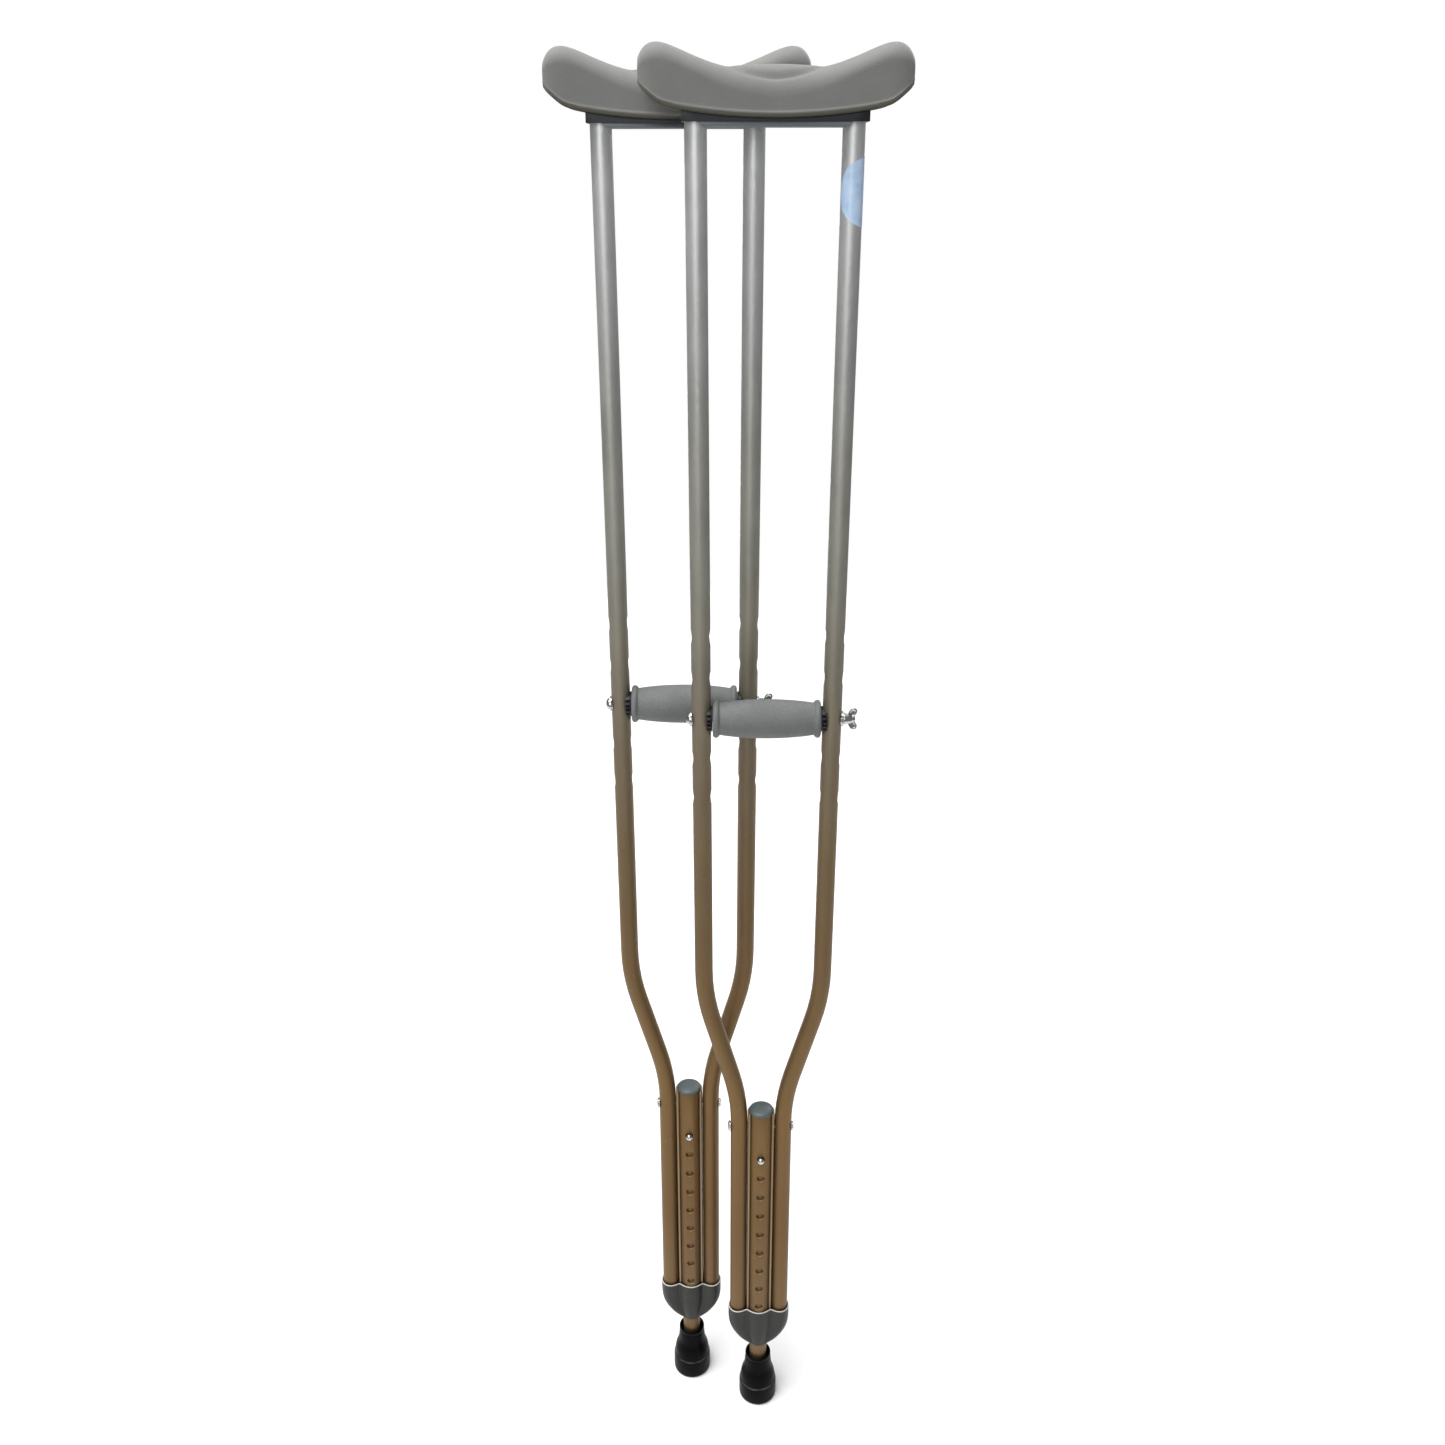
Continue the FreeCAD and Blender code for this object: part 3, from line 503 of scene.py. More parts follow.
def label_film():
    finish, tree, shader = new_finish("label_film", Roughness=0.3)
    place = place_of(tree)
    cloud = noise(tree, place, 70.0, 3.0, 0.5)
    colour = ramp(tree, cloud, [(0.3, screen(176, 204, 236)), (0.55, screen(196, 219, 244)),
                                (0.8, screen(214, 230, 248))])
    tree.links.new(colour, shader.inputs["Base Color"])
    tree.links.new(fit(tree, cloud, 0.3, 0.7, 0.24, 0.38), shader.inputs["Roughness"])
    bump(tree, shader, noise(tree, place, 500.0, 2.0), 0.00004, 0.5)
    return finish


steel_finish = plated_steel()
label_finish = label_film()
print("finishes:", steel_finish.name, label_finish.name)

# %% [markdown]
# ### Studio floor
# A floor in a photographer's studio is never perfectly even: a slow drift in its paint and a soft sheen
# stop it from looking like a computer's plain colour.

# %% Floor paint
def floor_paint():
    finish, tree, shader = new_finish("floor_paint", Roughness=0.7)
    cloud = noise(tree, place_of(tree), 1.6, 3.0, 0.5)
    colour = ramp(tree, cloud, [(0.2, 0.86), (0.8, 0.89)])
    tree.links.new(colour, shader.inputs["Base Color"])
    bump(tree, shader, noise(tree, place_of(tree), 300.0, 2.0), 0.0001, 0.3)
    return finish


floor.data.materials.append(floor_paint())
print("floor painted")

# %% [markdown]
# ## Modelling helpers
# Most pieces start as one primitive, get shaped in edit mode, and end with their place in the mesh. These
# helpers do the steps that repeat: start clean, finish a piece, and hand it over to the frame.

# %% Start and finish a piece
def select_only(piece):
    if bpy.context.mode != "OBJECT":
        bpy.ops.object.mode_set(mode="OBJECT")
    bpy.ops.object.select_all(action="DESELECT")
    piece.select_set(True)
    bpy.context.view_layer.objects.active = piece


def tidy_mesh(piece):
    """Puts the place into the mesh, merges doubles and turns all faces outwards."""
    select_only(piece)
    bpy.ops.object.transform_apply(location=True, rotation=True, scale=True)
    bpy.ops.object.mode_set(mode="EDIT")
    bpy.ops.mesh.select_all(action="SELECT")
    bpy.ops.mesh.remove_doubles(threshold=0.002 * MM)
    bpy.ops.mesh.normals_make_consistent(inside=False)
    bpy.ops.object.mode_set(mode="OBJECT")


def apply_modifier(piece, kind, **settings):
    select_only(piece)
    modifier = piece.modifiers.new(kind.title(), kind)
    for key, value in settings.items():
        setattr(modifier, key, value)
    bpy.ops.object.modifier_apply(modifier=modifier.name)


def smooth(piece, angle=None):
    select_only(piece)
    if angle is None:
        bpy.ops.object.shade_smooth()
    else:
        bpy.ops.object.shade_smooth_by_angle(angle=math.radians(angle))


def hand_over(piece, name, finish, slot, body, *nodes):
    """Names the piece, paints it, and lets it stand for its nodes on the body they ride on."""
    piece.name = name
    piece.data.name = name
    piece.data.materials.clear()
    piece.data.materials.append(finish)
    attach(piece, body)
    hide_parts(*nodes)
    print(name, "-", len(piece.data.polygons), "faces on", body)
    return piece


def attribute(piece, name, values):
    made = piece.data.attributes.new(name, "FLOAT", "POINT")
    made.data.foreach_set("value", np.asarray(values, np.float32))


def points_of(piece):
    flat = np.zeros(len(piece.data.vertices) * 3)
    piece.data.vertices.foreach_get("co", flat)
    return flat.reshape(-1, 3)


def move_points(piece, points):
    piece.data.vertices.foreach_set("co", np.asarray(points, np.float32).ravel())
    piece.data.update()


print("modelling helpers ready")

# %% [markdown]
# A turned piece, such as a rubber foot or a nut, is a disc pulled along its axis and scaled at each stop.
# That is exactly what extrude and scale do, so `turned` takes a list of (radius, height) stops in
# millimetres. The finished piece can be laid on its side, because bolts and grips run across the crutch.

# %% Turned pieces
def turned(stops, sides=64):
    radius, level = stops[0]
    bpy.ops.object.select_all(action="DESELECT")
    bpy.ops.mesh.primitive_circle_add(vertices=sides, radius=radius * MM, fill_type="NGON",
                                      location=(0, 0, level * MM))
    piece = bpy.context.object
    bpy.ops.object.transform_apply(location=True, rotation=True, scale=True)
    bpy.ops.object.mode_set(mode="EDIT")
    bpy.ops.mesh.select_all(action="SELECT")
    for next_radius, next_level in stops[1:]:
        bpy.ops.mesh.extrude_region_move(
            TRANSFORM_OT_translate={"value": (0, 0, (next_level - level) * MM)})
        factor = next_radius / radius
        bpy.ops.transform.resize(value=(factor, factor, 1), center_override=(0, 0, next_level * MM))
        radius, level = next_radius, next_level
    bpy.ops.object.mode_set(mode="OBJECT")
    return piece


def lay_across(piece, place):
    """Turns an upright turned piece so that its axis runs along X, then moves it to its place."""
    piece.data.transform(Matrix.Rotation(math.radians(90), 4, "Y"))
    piece.data.transform(Matrix.Translation(place))
    tidy_mesh(piece)
    return piece


print("turning ready")

# %% [markdown]
# ## Underarm pads
# The pad is a horned crescent. Seen from the front its lower edge bows down and its corners slope up to
# two round horns. Across its thickness the top is rounded over, most of all in the middle, where a raised
# lens-shaped pillow sits in the hollow. A finely divided block is pressed into that shape, point by point,
# from a few measured lines. A cloth simulation would round it evenly and lose the moulded horns.

# %% Measured lines of the pad
PAD_REACH = 112.7
PAD_TOP = [(0, 1480.8), (20, 1481.4), (38, 1483.6), (53, 1487.4), (68, 1492.8), (82, 1498.6), (91, 1501.8),
           (98, 1503.0), (104, 1501.9), (109, 1498.2), (112.3, 1493.2), (113.5, 1488.0)]
PAD_ROUND = [(0, 21.0), (30, 18.0), (68, 14.0), (90, 14.5), (104, 15.0), (113.5, 9.0)]
PAD_DEPTH = [(0, 18.1), (96, 18.1), (104, 17.4), (110, 15.0), (113.5, 12.0)]
PAD_LIP = [(0, -1.5), (0.7, -0.5), (2.6, -0.1), (3.3, 0.8), (4.0, 0.75), (5.2, 0.1), (7, 0.0)]
FLOOR_MIDDLE, FLOOR_BOW = 1446.0, 1053.8  # lowest level, and the length that sets how gently it bows up
CORNER_LEVEL, CORNER_FROM, CORNER_SLOPE = 1452.6, 93.5, 0.87


def line_at(line, x):
    """Reads a measured line. Its corners are eased by averaging, except close to the horns' ends."""
    xs, values = zip(*line)
    spread = np.linspace(-4.0, 4.0, 9)
    reach = np.clip(np.abs(x)[:, None] + spread[None, :], 0, xs[-1])
    exact = np.interp(np.abs(x), xs, values)
    eased = np.interp(np.abs(reach), xs, values).mean(1)
    near_end = np.clip((np.abs(x) - 100.0) / 8.0, 0, 1)
    return eased * (1 - near_end) + exact * near_end


def pad_floor(x):
    """Height of the pad's lower edge: a slow bow, then a steep corner, with the join between them eased."""
    bow = FLOOR_MIDDLE + x ** 2 / FLOOR_BOW
    corner = CORNER_LEVEL + (np.abs(x) - CORNER_FROM) * CORNER_SLOPE
    line = (bow + corner + np.sqrt((bow - corner) ** 2 + 9.0)) / 2 - 0.3
    return line + np.clip((np.abs(x) - 110.0) / 3.5, 0, 1) ** 2 * 2.0


print("pad floor at its middle and its ends:", np.round(pad_floor(np.array([0.0, PAD_REACH])), 1))

# %% [markdown]
# The block's points run from -1 to 1 along each axis. X is spread towards the horns, Y follows the depth
# line, and Z runs from the floor line up to the top line. The pillow with its crease and the rolled lip
# are added after that.

# %% Press the block into a pad
PILLOW_LONG, PILLOW_DEEP, PILLOW_HIGH = 38.0, 12.0, 5.4
CREASE_DEEP = 1.3
LIP_FADES_FROM, LIP_FADES_OVER = 104.0, 8.0


def underarm_pad(crutch):
    bpy.ops.object.select_all(action="DESELECT")
    bpy.ops.mesh.primitive_cube_add(size=2, location=(0, 0, 0))
    piece = bpy.context.object
    bpy.ops.object.mode_set(mode="EDIT")
    bpy.ops.mesh.select_all(action="SELECT")
    bpy.ops.mesh.subdivide(number_cuts=55)
    bpy.ops.object.mode_set(mode="OBJECT")
    unit = points_of(piece)
    x = PAD_REACH * (np.sin(unit[:, 0] * math.pi / 2) * 0.4 + unit[:, 0] * 0.6)
    side = np.sin(unit[:, 1] * math.pi / 2)
    share = (unit[:, 2] + 1) / 2
    y = side * line_at(PAD_DEPTH, x)
    top = line_at(PAD_TOP, x) - line_at(PAD_ROUND, x) * (1 - np.sqrt(np.clip(1 - side ** 2, 0, 1)))
    edge = (x / PILLOW_LONG) ** 2 + (y / PILLOW_DEEP) ** 2
    pillow = np.clip(1 - edge, 0, 1) ** 0.32 * np.clip(1 - (x / 40.0) ** 2, 0, 1) ** 0.5
    crease = np.exp(-((np.sqrt(edge) - 1.05) / 0.09) ** 2) * np.clip(1 - (x / 43.0) ** 2, 0, 1)
    top = top + PILLOW_HIGH * pillow - CREASE_DEEP * crease * (np.abs(y) > 4)
    floor_line = pad_floor(x)
    z = floor_line + (top - floor_line) * share
    above = z - floor_line
    lip_out = np.interp(above, *zip(*PAD_LIP))
    fading = 1 - 0.85 * np.clip((np.abs(x) - LIP_FADES_FROM) / LIP_FADES_OVER, 0, 1)
    y = np.where(np.abs(side) > 0.999, y + np.sign(y) * lip_out * fading, y)
    x = np.where(np.abs(unit[:, 0]) > 0.999, x + np.sign(x) * lip_out * 0.15, x)
    hollow = (share < 1e-6) & (np.abs(y) < 15.0) & (np.abs(x) < 100)
    z = np.where(hollow, z + 1.6, z)
    move_points(piece, np.stack([x, y, z], 1) * MM + np.array(AXIS[crutch]))
    tidy_mesh(piece)
    apply_modifier(piece, "SMOOTH", factor=0.5, iterations=1)
    apply_modifier(piece, "SUBSURF", levels=1, render_levels=1)
    smooth(piece)
    placed = (points_of(piece) - np.array(AXIS[crutch])) / MM
    above = placed[:, 2] - pad_floor(placed[:, 0])
    steep = np.where(np.abs(placed[:, 0]) > 84, 1.25, 1.0)
    attribute(piece, "lip", np.clip((3.4 * steep - above) / 0.8, 0, 1))
    hand_over(piece, crutch + "_underarm_pad_skin", pad_finish, "pad_foam", crutch + "_frame",
              crutch + "_underarm_pad")


for crutch in CRUTCHES:
    underarm_pad(crutch)

# %% [markdown]
# ## Hand grips
# A grip is a barrel that swells in the middle, dips just before each end and then rises into a rounded
# flange. It is turned like a chair leg, lengthwise along the bolt.

# %% Grip barrel
GRIP_STOPS = [
    (11.3, -53.2), (15.6, -53.15), (17.4, -52.7), (18.6, -51.6), (19.05, -49.9), (18.6, -48.2), (17.4, -47.1),
    (16.4, -46.6), (16.15, -45.9), (16.3, -44.6), (16.9, -41.0), (17.7, -34.5), (18.5, -26.0), (19.1, -17.0),
    (19.4, -8.0), (19.5, 0),
]


def hand_grip(crutch):
    stops = GRIP_STOPS + [(radius, -level) for radius, level in reversed(GRIP_STOPS[:-1])]
    piece = turned(stops, 96)
    lay_across(piece, AXIS[crutch] + Vector((0, 0, GRIP_LEVEL * MM)))
    apply_modifier(piece, "SUBSURF", levels=1, render_levels=1)
    smooth(piece, 40)
    hand_over(piece, crutch + "_hand_grip", grip_finish, "grip_rubber", crutch + "_grip",
              crutch + "_grip_sleeve", crutch + "_grip_core")


for crutch in CRUTCHES:
    hand_grip(crutch)

# %% [markdown]
# ## Rubber feet
# The foot has an open neck that hugs the leg, a shoulder, and a flared skirt with a step near the floor.
# The stops run up the outside, over the rim and down the inside of the neck, so the wall has a thickness.
# Rings under the sole are the tread.

# %% Rubber foot
TIP_STOPS = [
    (1.0, 1.8), (5.0, 1.8), (5.3, 0.15), (7.8, 0.15), (8.1, 1.8), (10.8, 1.8), (11.1, 0.15), (13.6, 0.15),
    (13.9, 1.8), (16.4, 1.8), (16.7, 0.15), (20.0, 0.1), (21.4, 0.55), (22.2, 1.8), (22.5, 3.6), (22.6, 10.0),
    (22.55, 22.0), (22.3, 24.6), (21.7, 25.7), (21.3, 26.3), (21.15, 27.5), (21.0, 30.5), (20.5, 34.5),
    (19.4, 39.2), (18.0, 42.8), (16.9, 46.2), (16.2, 51.0), (15.7, 57.0), (15.4, 61.2), (15.15, 62.0),
    (14.95, 62.6), (15.2, 63.3), (15.4, 64.6), (15.35, 66.6), (14.9, 67.7), (14.2, 68.0), (13.4, 67.8),
    (12.95, 66.9), (12.6, 64.0), (11.8, 58.0), (10.6, 52.0), (10.4, 50.0),
]


def rubber_foot(crutch):
    piece = turned(TIP_STOPS, 72)
    piece.data.transform(Matrix.Translation(AXIS[crutch]))
    tidy_mesh(piece)
    apply_modifier(piece, "SUBSURF", levels=1, render_levels=1)
    smooth(piece)
    hand_over(piece, crutch + "_rubber_foot", tip_finish, "tip_rubber", crutch + "_leg",
              crutch + "_rubber_tip", crutch + "_tip_washer")


for crutch in CRUTCHES:
    rubber_foot(crutch)

# %% [markdown]
# ## Domed caps and snap buttons
# Small turned pieces: the slate plug that closes the middle section, and the steel button that locks the
# leg. Both have a soft crown, so they catch one small round highlight.

# %% Cap and button
CAP_STOPS = [(10.0, 424.0), (10.1, 430.3), (13.3, 430.3), (13.65, 430.6), (13.7, 431.4), (13.7, 432.4),
             (13.4, 433.2), (12.4, 434.0), (10.2, 434.9), (7.4, 435.6), (4.0, 436.0), (1.2, 436.1)]
BUTTON_STOPS = [(3.7, 6.6), (3.95, 6.9), (3.95, 15.2), (3.8, 16.2), (3.3, 17.2), (2.4, 17.9), (1.2, 18.3),
                (0.4, 18.38)]


def channel_cap(crutch):
    piece = turned(CAP_STOPS, 64)
    piece.data.transform(Matrix.Translation(AXIS[crutch]))
    tidy_mesh(piece)
    apply_modifier(piece, "SUBSURF", levels=1, render_levels=1)
    smooth(piece, 50)
    hand_over(piece, crutch + "_channel_cap", cap_finish, "slate_plastic", crutch + "_frame",
              crutch + "_extrusion_cap")


def lock_button(crutch):
    piece = turned(BUTTON_STOPS, 32)
    piece.data.transform(Matrix.Rotation(math.radians(90), 4, "X"))
    piece.data.transform(Matrix.Translation(AXIS[crutch] + Vector((0, 0, BUTTON_LEVEL * MM))))
    tidy_mesh(piece)
    apply_modifier(piece, "SUBSURF", levels=1, render_levels=1)
    smooth(piece)
    hand_over(piece, crutch + "_lock_button", steel_finish, "steel", crutch + "_button",
              crutch + "_snap_button")


for make in (channel_cap, lock_button):
    for crutch in CRUTCHES:
        make(crutch)

# %% [markdown]
# ## Bottom collars
# The collar is a cup with three lobes, one for each tube and one for the middle section. From above its
# top edge is three arcs meeting in cusps. Below, it tapers like a shield into a neck round the leg.
# A filled circle is pulled down level by level, and the points of each level are moved onto the lobed line.

# %% Lobed outline of the collar
COLLAR_HALF_WIDTH = 36.35
NECK_RADIUS = 12.6
LOBES_MEET = 14.3
SIDE_LOBE_MIDDLE, SIDE_LOBE_DEPTH = 25.5, 12.5
LIP_LEVEL = 141.7


def lobe_depth(x):
    """Half the collar's thickness at a distance x from its middle, in millimetres."""
    x = np.abs(x)
    middle = 15.0 - 6.6 * (x / LOBES_MEET) ** 2
    rising = SIDE_LOBE_DEPTH - 4.1 * np.clip((SIDE_LOBE_MIDDLE - x) / 11.2, 0, 1) ** 2
    falling = SIDE_LOBE_DEPTH * np.sqrt(np.clip(1 - ((x - SIDE_LOBE_MIDDLE) / 10.85) ** 2, 0, 1))
    return np.where(x < LOBES_MEET, middle, np.where(x < SIDE_LOBE_MIDDLE, rising, falling))


COLLAR_LEVELS = [  # height, half width, share of the lobed shape left
    (143.0, 36.35, 1.0), (142.2, 36.35, 1.0), (138.0, 36.35, 1.0), (130.0, 36.3, 1.0), (125.0, 36.1, 1.0),
    (120.0, 35.6, 0.98), (115.0, 34.5, 0.94), (110.0, 32.5, 0.88), (105.0, 29.7, 0.79), (100.0, 26.1, 0.66),
    (96.0, 22.6, 0.5), (92.5, 18.6, 0.3), (90.0, 15.2, 0.12), (88.6, 13.3, 0.02), (88.0, 12.6, 0.0),
]


def bottom_collar(crutch):
    sides = 144
    bpy.ops.object.select_all(action="DESELECT")
    bpy.ops.mesh.primitive_circle_add(vertices=sides, radius=1, fill_type="NOTHING", location=(0, 0, 0))
    piece = bpy.context.object
    bpy.ops.object.mode_set(mode="EDIT")
    bpy.ops.mesh.select_all(action="SELECT")
    for _ in range(len(COLLAR_LEVELS) - 1):
        bpy.ops.mesh.extrude_region_move(TRANSFORM_OT_translate={"value": (0, 0, -1)})
    bpy.ops.object.mode_set(mode="OBJECT")
    unit = points_of(piece)
    level = np.clip(np.rint(-unit[:, 2]).astype(int), 0, len(COLLAR_LEVELS) - 1)
    height, reach, lobed = [np.array(column)[level] for column in zip(*COLLAR_LEVELS)]
    turn = np.arctan2(unit[:, 1], unit[:, 0])
    x_full = COLLAR_HALF_WIDTH * np.cos(turn)
    lobes = np.sign(np.sin(turn)) * lobe_depth(x_full)
    round_neck = np.sin(turn) * np.minimum(reach, NECK_RADIUS + (reach - NECK_RADIUS) * 0.12)
    x = x_full * reach / COLLAR_HALF_WIDTH
    y = lobes * lobed + round_neck * (1 - lobed)
    move_points(piece, np.stack([x, y, height], 1) * MM + np.array(AXIS[crutch]))
    tidy_mesh(piece)
    apply_modifier(piece, "SOLIDIFY", thickness=1.3 * MM, offset=-1.0)
    apply_modifier(piece, "SUBSURF", levels=1, render_levels=1)
    smooth(piece, 50)
    placed = points_of(piece) / MM
    # The lip attribute marks the top rim for the painted highlight.
    attribute(piece, "lip", np.clip((placed[:, 2] - LIP_LEVEL) / 0.7, 0, 1))
    hand_over(piece, crutch + "_tube_collar", collar_finish, "collar_plastic", crutch + "_frame",
              crutch + "_bottom_collar")


for crutch in CRUTCHES:
    bottom_collar(crutch)

# %% [markdown]
# ## Wing nuts
# A wing nut is a tapered hub with two thin blades, each a rounded leaf with a thicker border. The hub is
# turned. Each blade is also turned, as a flat dished button, and then squeezed into a leaf.

# %% Wing nut
BLADE_STOPS = [(0.3, 0.3), (0.58, 0.27), (0.72, 0.0), (0.9, 0.0), (1.0, 0.2), (1.0, 0.8), (0.9, 1.0),
               (0.72, 1.0), (0.58, 0.73), (0.3, 0.7)]
HUB_STOPS = [(3.3, 8.2), (4.3, 8.2), (4.7, 7.9), (5.2, 5.0), (5.9, 1.4), (6.0, 0.5), (5.8, 0.05), (3.3, 0.0)]
BLADE_SLOPE = 52  # degrees
BLADE_HALF_LONG, BLADE_HALF_WIDE, BLADE_OUT = 5.9, 4.6, 8.6


def wing_blade(way):
    """One leaf in the XZ plane, spreading out and up (way 1) or out and down (way -1) from the hub."""
    blade = turned(BLADE_STOPS, 28)
    unit = points_of(blade) / MM
    along, wide, thick = unit[:, 0], unit[:, 1], unit[:, 2] - 0.5
    leaf = 0.62 + 0.38 * np.clip((along + 1) / 2, 0, 1)
    reach = BLADE_HALF_LONG * along + BLADE_OUT
    spread = BLADE_HALF_WIDE * wide * leaf
    slope = math.radians(BLADE_SLOPE)
    x = 1.2 + reach * math.cos(slope) + spread * math.sin(slope) + 2.2
    z = way * (reach * math.sin(slope) - spread * math.cos(slope) - 0.7)
    y = thick * 2.0
    move_points(blade, np.stack([x, y, z], 1) * MM)
    tidy_mesh(blade)
    apply_modifier(blade, "SUBSURF", levels=2, render_levels=2)
    return blade


def wing_nut(crutch):
    hub = turned(HUB_STOPS, 40)
    lay_across(hub, (0, 0, 0))
    blades = [wing_blade(1), wing_blade(-1)]
    select_only(hub)
    for blade in blades:
        blade.select_set(True)
    bpy.ops.object.join()
    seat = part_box(crutch + "_wing_nut")[0].x
    start = Vector((seat, AXIS[crutch].y, GRIP_LEVEL * MM))
    hub.data.transform(Matrix.Translation(start - Vector((points_of(hub)[:, 0].min(), 0, 0))))
    select_only(hub)
    smooth(hub, 45)
    hand_over(hub, crutch + "_wing_nut_blades", steel_finish, "steel", crutch + "_wing_nut",
              crutch + "_wing_nut")


for crutch in CRUTCHES:
    wing_nut(crutch)

# %% [markdown]
# ## Round label
# A round sticker is wider than the tube, so it wraps round the outer side and its edges nearly meet on the
# inner one. A fine square grid is pushed into a disc, and then rolled onto the tube like paper.

# %% Roll the label onto the tube
LABEL_RADIUS, LABEL_LEVEL = 28.0, 1388.5
ROLL_RADIUS = 9.66  # just outside the tube's skin
TUBE_TOP_OUT, TUBE_TOP_LEVEL = 66.1, 1460.0  # where the tube's axis is at its top
TUBE_LEAN, LEAN_LENGTH = 2.7, 843.0  # the axis comes in by this much over this length


def round_label():
    bpy.ops.object.select_all(action="DESELECT")
    bpy.ops.mesh.primitive_grid_add(x_subdivisions=72, y_subdivisions=36, size=2, location=(0, 0, 0))
    piece = bpy.context.object
    unit = points_of(piece)
    wide = unit[:, 0] * np.sqrt(1 - unit[:, 1] ** 2 / 2)
    tall = unit[:, 1] * np.sqrt(1 - unit[:, 0] ** 2 / 2)
    angle = LABEL_RADIUS * wide / ROLL_RADIUS
    height = LABEL_LEVEL + LABEL_RADIUS * tall
    middle = TUBE_TOP_OUT - TUBE_LEAN * (TUBE_TOP_LEVEL - height) / LEAN_LENGTH
    rolled = np.stack([middle + ROLL_RADIUS * np.cos(angle), ROLL_RADIUS * np.sin(angle), height], 1)
    move_points(piece, rolled * MM + np.array(AXIS["front"]))
    tidy_mesh(piece)
    apply_modifier(piece, "SOLIDIFY", thickness=0.09 * MM, offset=0.0)
    smooth(piece, 40)
    hand_over(piece, "front_blank_label", label_finish, "label_film", "front_frame",
              "front_round_label")


round_label()

# %% [markdown]
# ## Softened copies
# The crosspiece, end pieces and bolts already have the right shape, but their edges are knife sharp. Real
# edges are rounded and draw a thin line of light. A copy of the node is welded, its flat areas are joined
# into single faces, and a bevel rounds each sharp edge.

# %% Soften an engineering piece
def softened(name, node_name, finish, slot, width, angle=32):
    source = frame["nodes"][node_name]
    piece = source.copy()
    piece.data = source.data.copy()
    for key in [key for key in piece.keys() if key.startswith("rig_")]:
        del piece[key]
    bpy.context.scene.collection.objects.link(piece)
    piece.parent = None
    piece.matrix_world = Matrix.Identity(4)
    select_only(piece)
    bpy.ops.object.mode_set(mode="EDIT")
    bpy.ops.mesh.select_all(action="SELECT")
    bpy.ops.mesh.remove_doubles(threshold=0.00001)
    bpy.ops.mesh.dissolve_limited(angle_limit=math.radians(0.6))
    bpy.ops.object.mode_set(mode="OBJECT")
    apply_modifier(piece, "BEVEL", width=width * MM, segments=2, limit_method="ANGLE",
                   angle_limit=math.radians(angle), use_clamp_overlap=True)
    smooth(piece, 30)
    return hand_over(piece, name, finish, slot, source["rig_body"], node_name)


for crutch in CRUTCHES:
    for side in ("left", "right"):
        softened(crutch + "_" + side + "_end_piece", crutch + "_" + side + "_grip_ferrule", black_finish,
                 "black_plastic", 0.25)
    softened(crutch + "_cross_bolt", crutch + "_frame_bolt", steel_finish, "steel", 0.3)
    softened(crutch + "_handle_bolt", crutch + "_grip_bolt", steel_finish, "steel", 0.3)

# %% [markdown]
# The crosspiece has a small ledge along its lower edge, painted paler than the rest as a highlight where it
# catches the light. The front and back walls are cut along two lines with bisect, and the strip below them
# is drawn outwards.
# The middle section is a drawn aluminium profile with a flat fin on each side. The long edges and top ends
# of the fins are painted pale, partly as worn coating and partly as a painted highlight where they catch the
# light. The walls of the nine height holes are painted pale as well, as painted light, so that the holes
# don't read as dark shade. The pale paint is kept per face corner, not per point, so that it stops dead at
# the rim of a hole.

# %% Crosspiece ledge and pale fins: painted highlights, wear and painted light
LEDGE_TOP, LEDGE_CUT, STRIP_TOP = 1442.9, 1442.3, 1442.4


def crosspiece(crutch):
    piece = softened(crutch + "_crosspiece", crutch + "_pad_saddle", saddle_finish, "saddle_plastic", 0.6)
    select_only(piece)
    bpy.ops.object.mode_set(mode="EDIT")
    for level in (LEDGE_TOP, LEDGE_CUT):
        bpy.ops.mesh.select_all(action="SELECT")
        bpy.ops.mesh.bisect(plane_co=(0, 0, level * MM), plane_no=(0, 0, 1))
    bpy.ops.object.mode_set(mode="OBJECT")
    points = points_of(piece)
    out = points[:, 1] - AXIS[crutch].y
    strip = (points[:, 2] < STRIP_TOP * MM) & (np.abs(out) > 14.6 * MM)
    points[:, 1] += np.where(strip, np.sign(out) * 0.9 * MM, 0)
    move_points(piece, points)
    smooth(piece, 30)
    # Painted highlight: the ledge strip is marked to be painted paler.
    attribute(piece, "wear_and_painted_light", np.clip((LEDGE_TOP * MM - points[:, 2]) / (0.5 * MM), 0, 1))


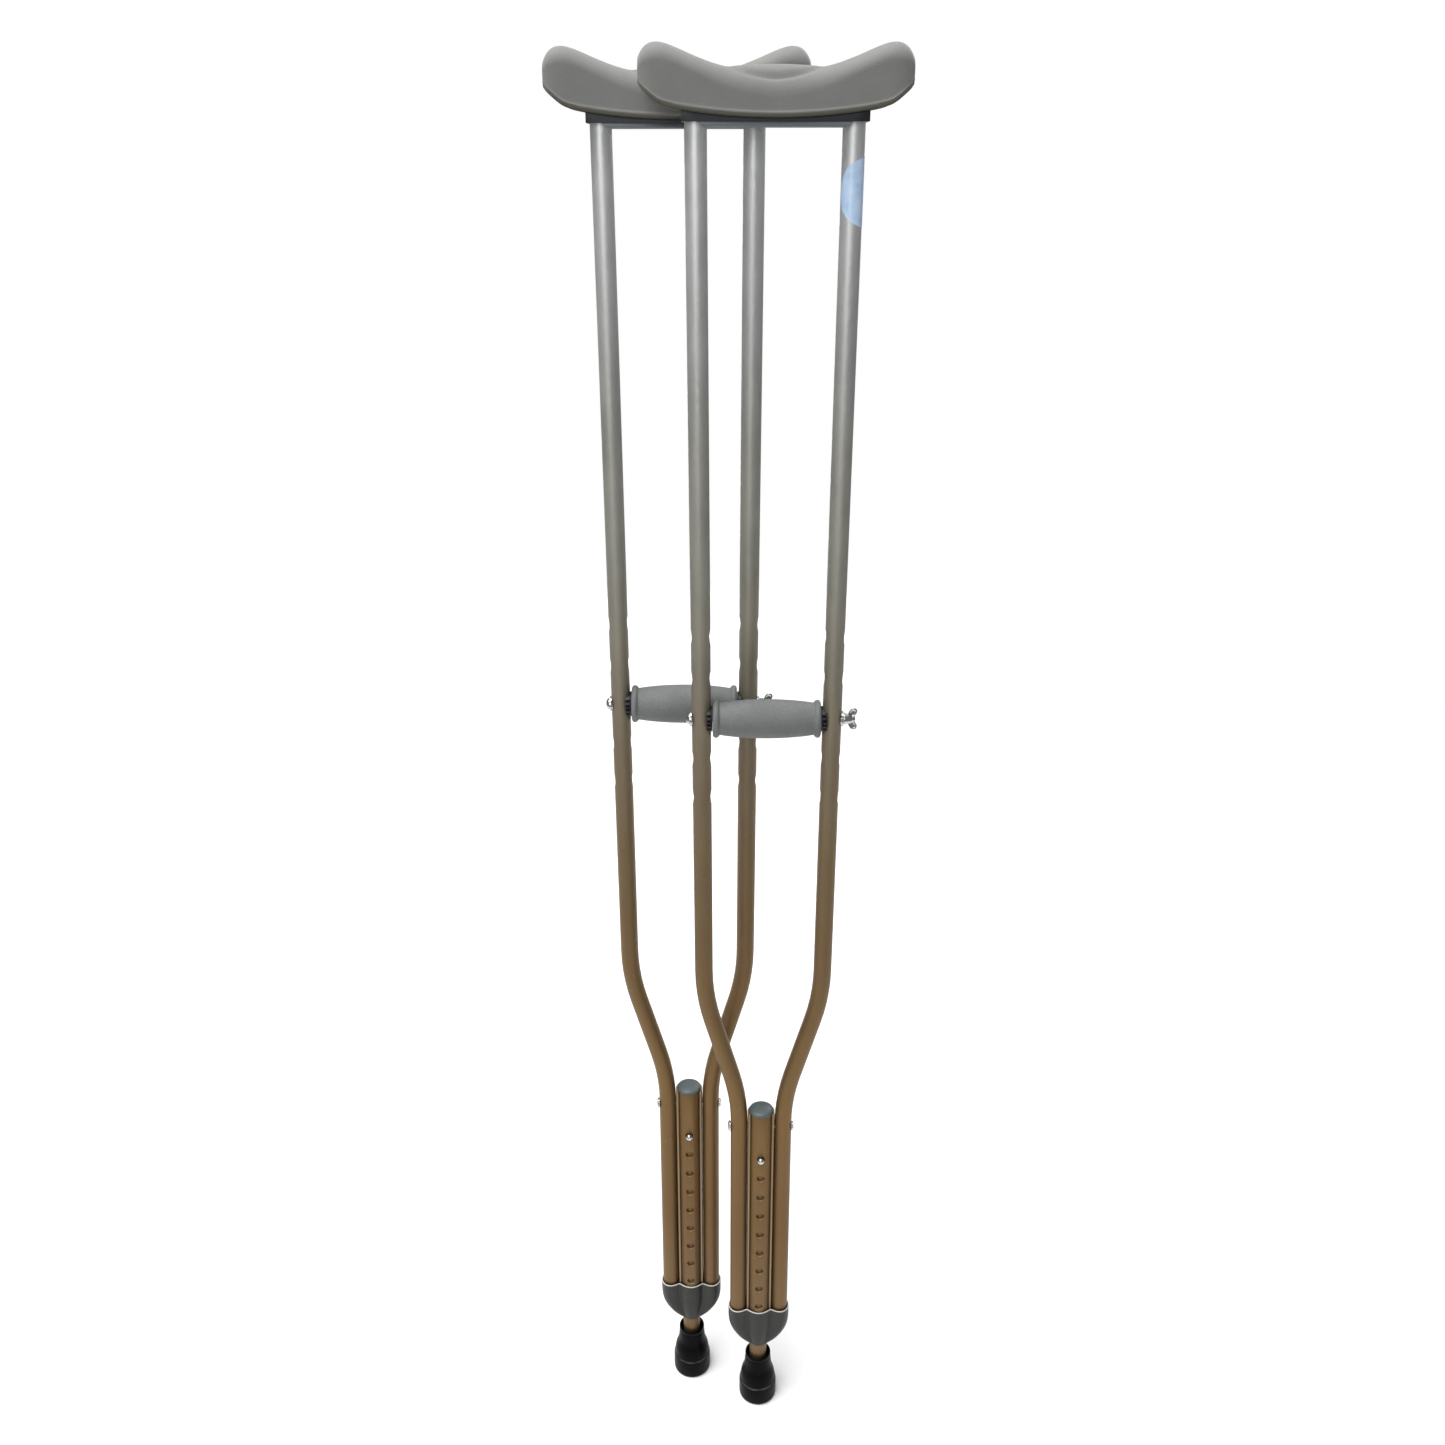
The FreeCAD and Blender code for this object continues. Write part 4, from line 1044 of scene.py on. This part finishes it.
HOLE_PAINTED_LIGHT, HOLE_STEP, HOLE_REACH = 1.4, 27.6, 4.7
HEIGHT_HOLES = [BUTTON_LEVEL - step * HOLE_STEP for step in range(9)]
FIN_OUT, FIN_EDGE, FIN_TOP = 12.3, 6.9, 429.5


def middle_section(crutch):
    piece = softened(crutch + "_middle_section", crutch + "_centre_extrusion", tube_finish,
                     "aluminium_tube", 0.3)
    out = np.abs((points_of(piece) - np.array(AXIS[crutch])) / MM)
    # Fins: worn coating and painted highlight.
    fin = (out[:, 0] > FIN_OUT) & ((out[:, 1] > FIN_EDGE) | (out[:, 2] > FIN_TOP))
    corners = np.zeros(len(piece.data.loops), np.int32)
    piece.data.loops.foreach_get("vertex_index", corners)
    wear_and_painted_light = fin[corners] * 1.0
    # Painted light: hole walls are painted pale so that they don't read as dark shade.
    for face in piece.data.polygons:
        middle = (face.center - AXIS[crutch]) / MM
        from_hole = min(math.hypot(middle.x, middle.z - hole) for hole in HEIGHT_HOLES)
        if middle.y < 0 and from_hole < HOLE_REACH and abs(face.normal.y) < 0.5:
            wear_and_painted_light[face.loop_start:face.loop_start + face.loop_total] = HOLE_PAINTED_LIGHT
    made = piece.data.attributes.new("wear_and_painted_light", "FLOAT", "CORNER")
    made.data.foreach_set("value", wear_and_painted_light.astype(np.float32))


for crutch in CRUTCHES:
    crosspiece(crutch)
    middle_section(crutch)

# %% [markdown]
# ## Paint what stays
# Every other node keeps its engineering mesh and only gets a finish.

# %% Paint the nodes that stay
STAYING = {
    "left_side_tube": tube_finish, "right_side_tube": tube_finish,
    "leg_tube": tube_finish, "grip_washers": steel_finish, "frame_washers": steel_finish,
    "frame_nut": steel_finish, "saddle_pins": steel_finish, "snap_spring": steel_finish,
    "leg_guide_bush": black_finish, "leg_top_plug": black_finish,
}
painted = 0
for name, item in frame["nodes"].items():
    finish = STAYING.get(name.split("_", 1)[1])
    if finish is not None and not item.hide_render:
        item.data.materials.clear()
        item.data.materials.append(finish)
        painted += 1
print("painted", painted, "engineering nodes")

# %% Sizes
low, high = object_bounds()
print("visual box", [round(v, 4) for v in low], [round(v, 4) for v in high])
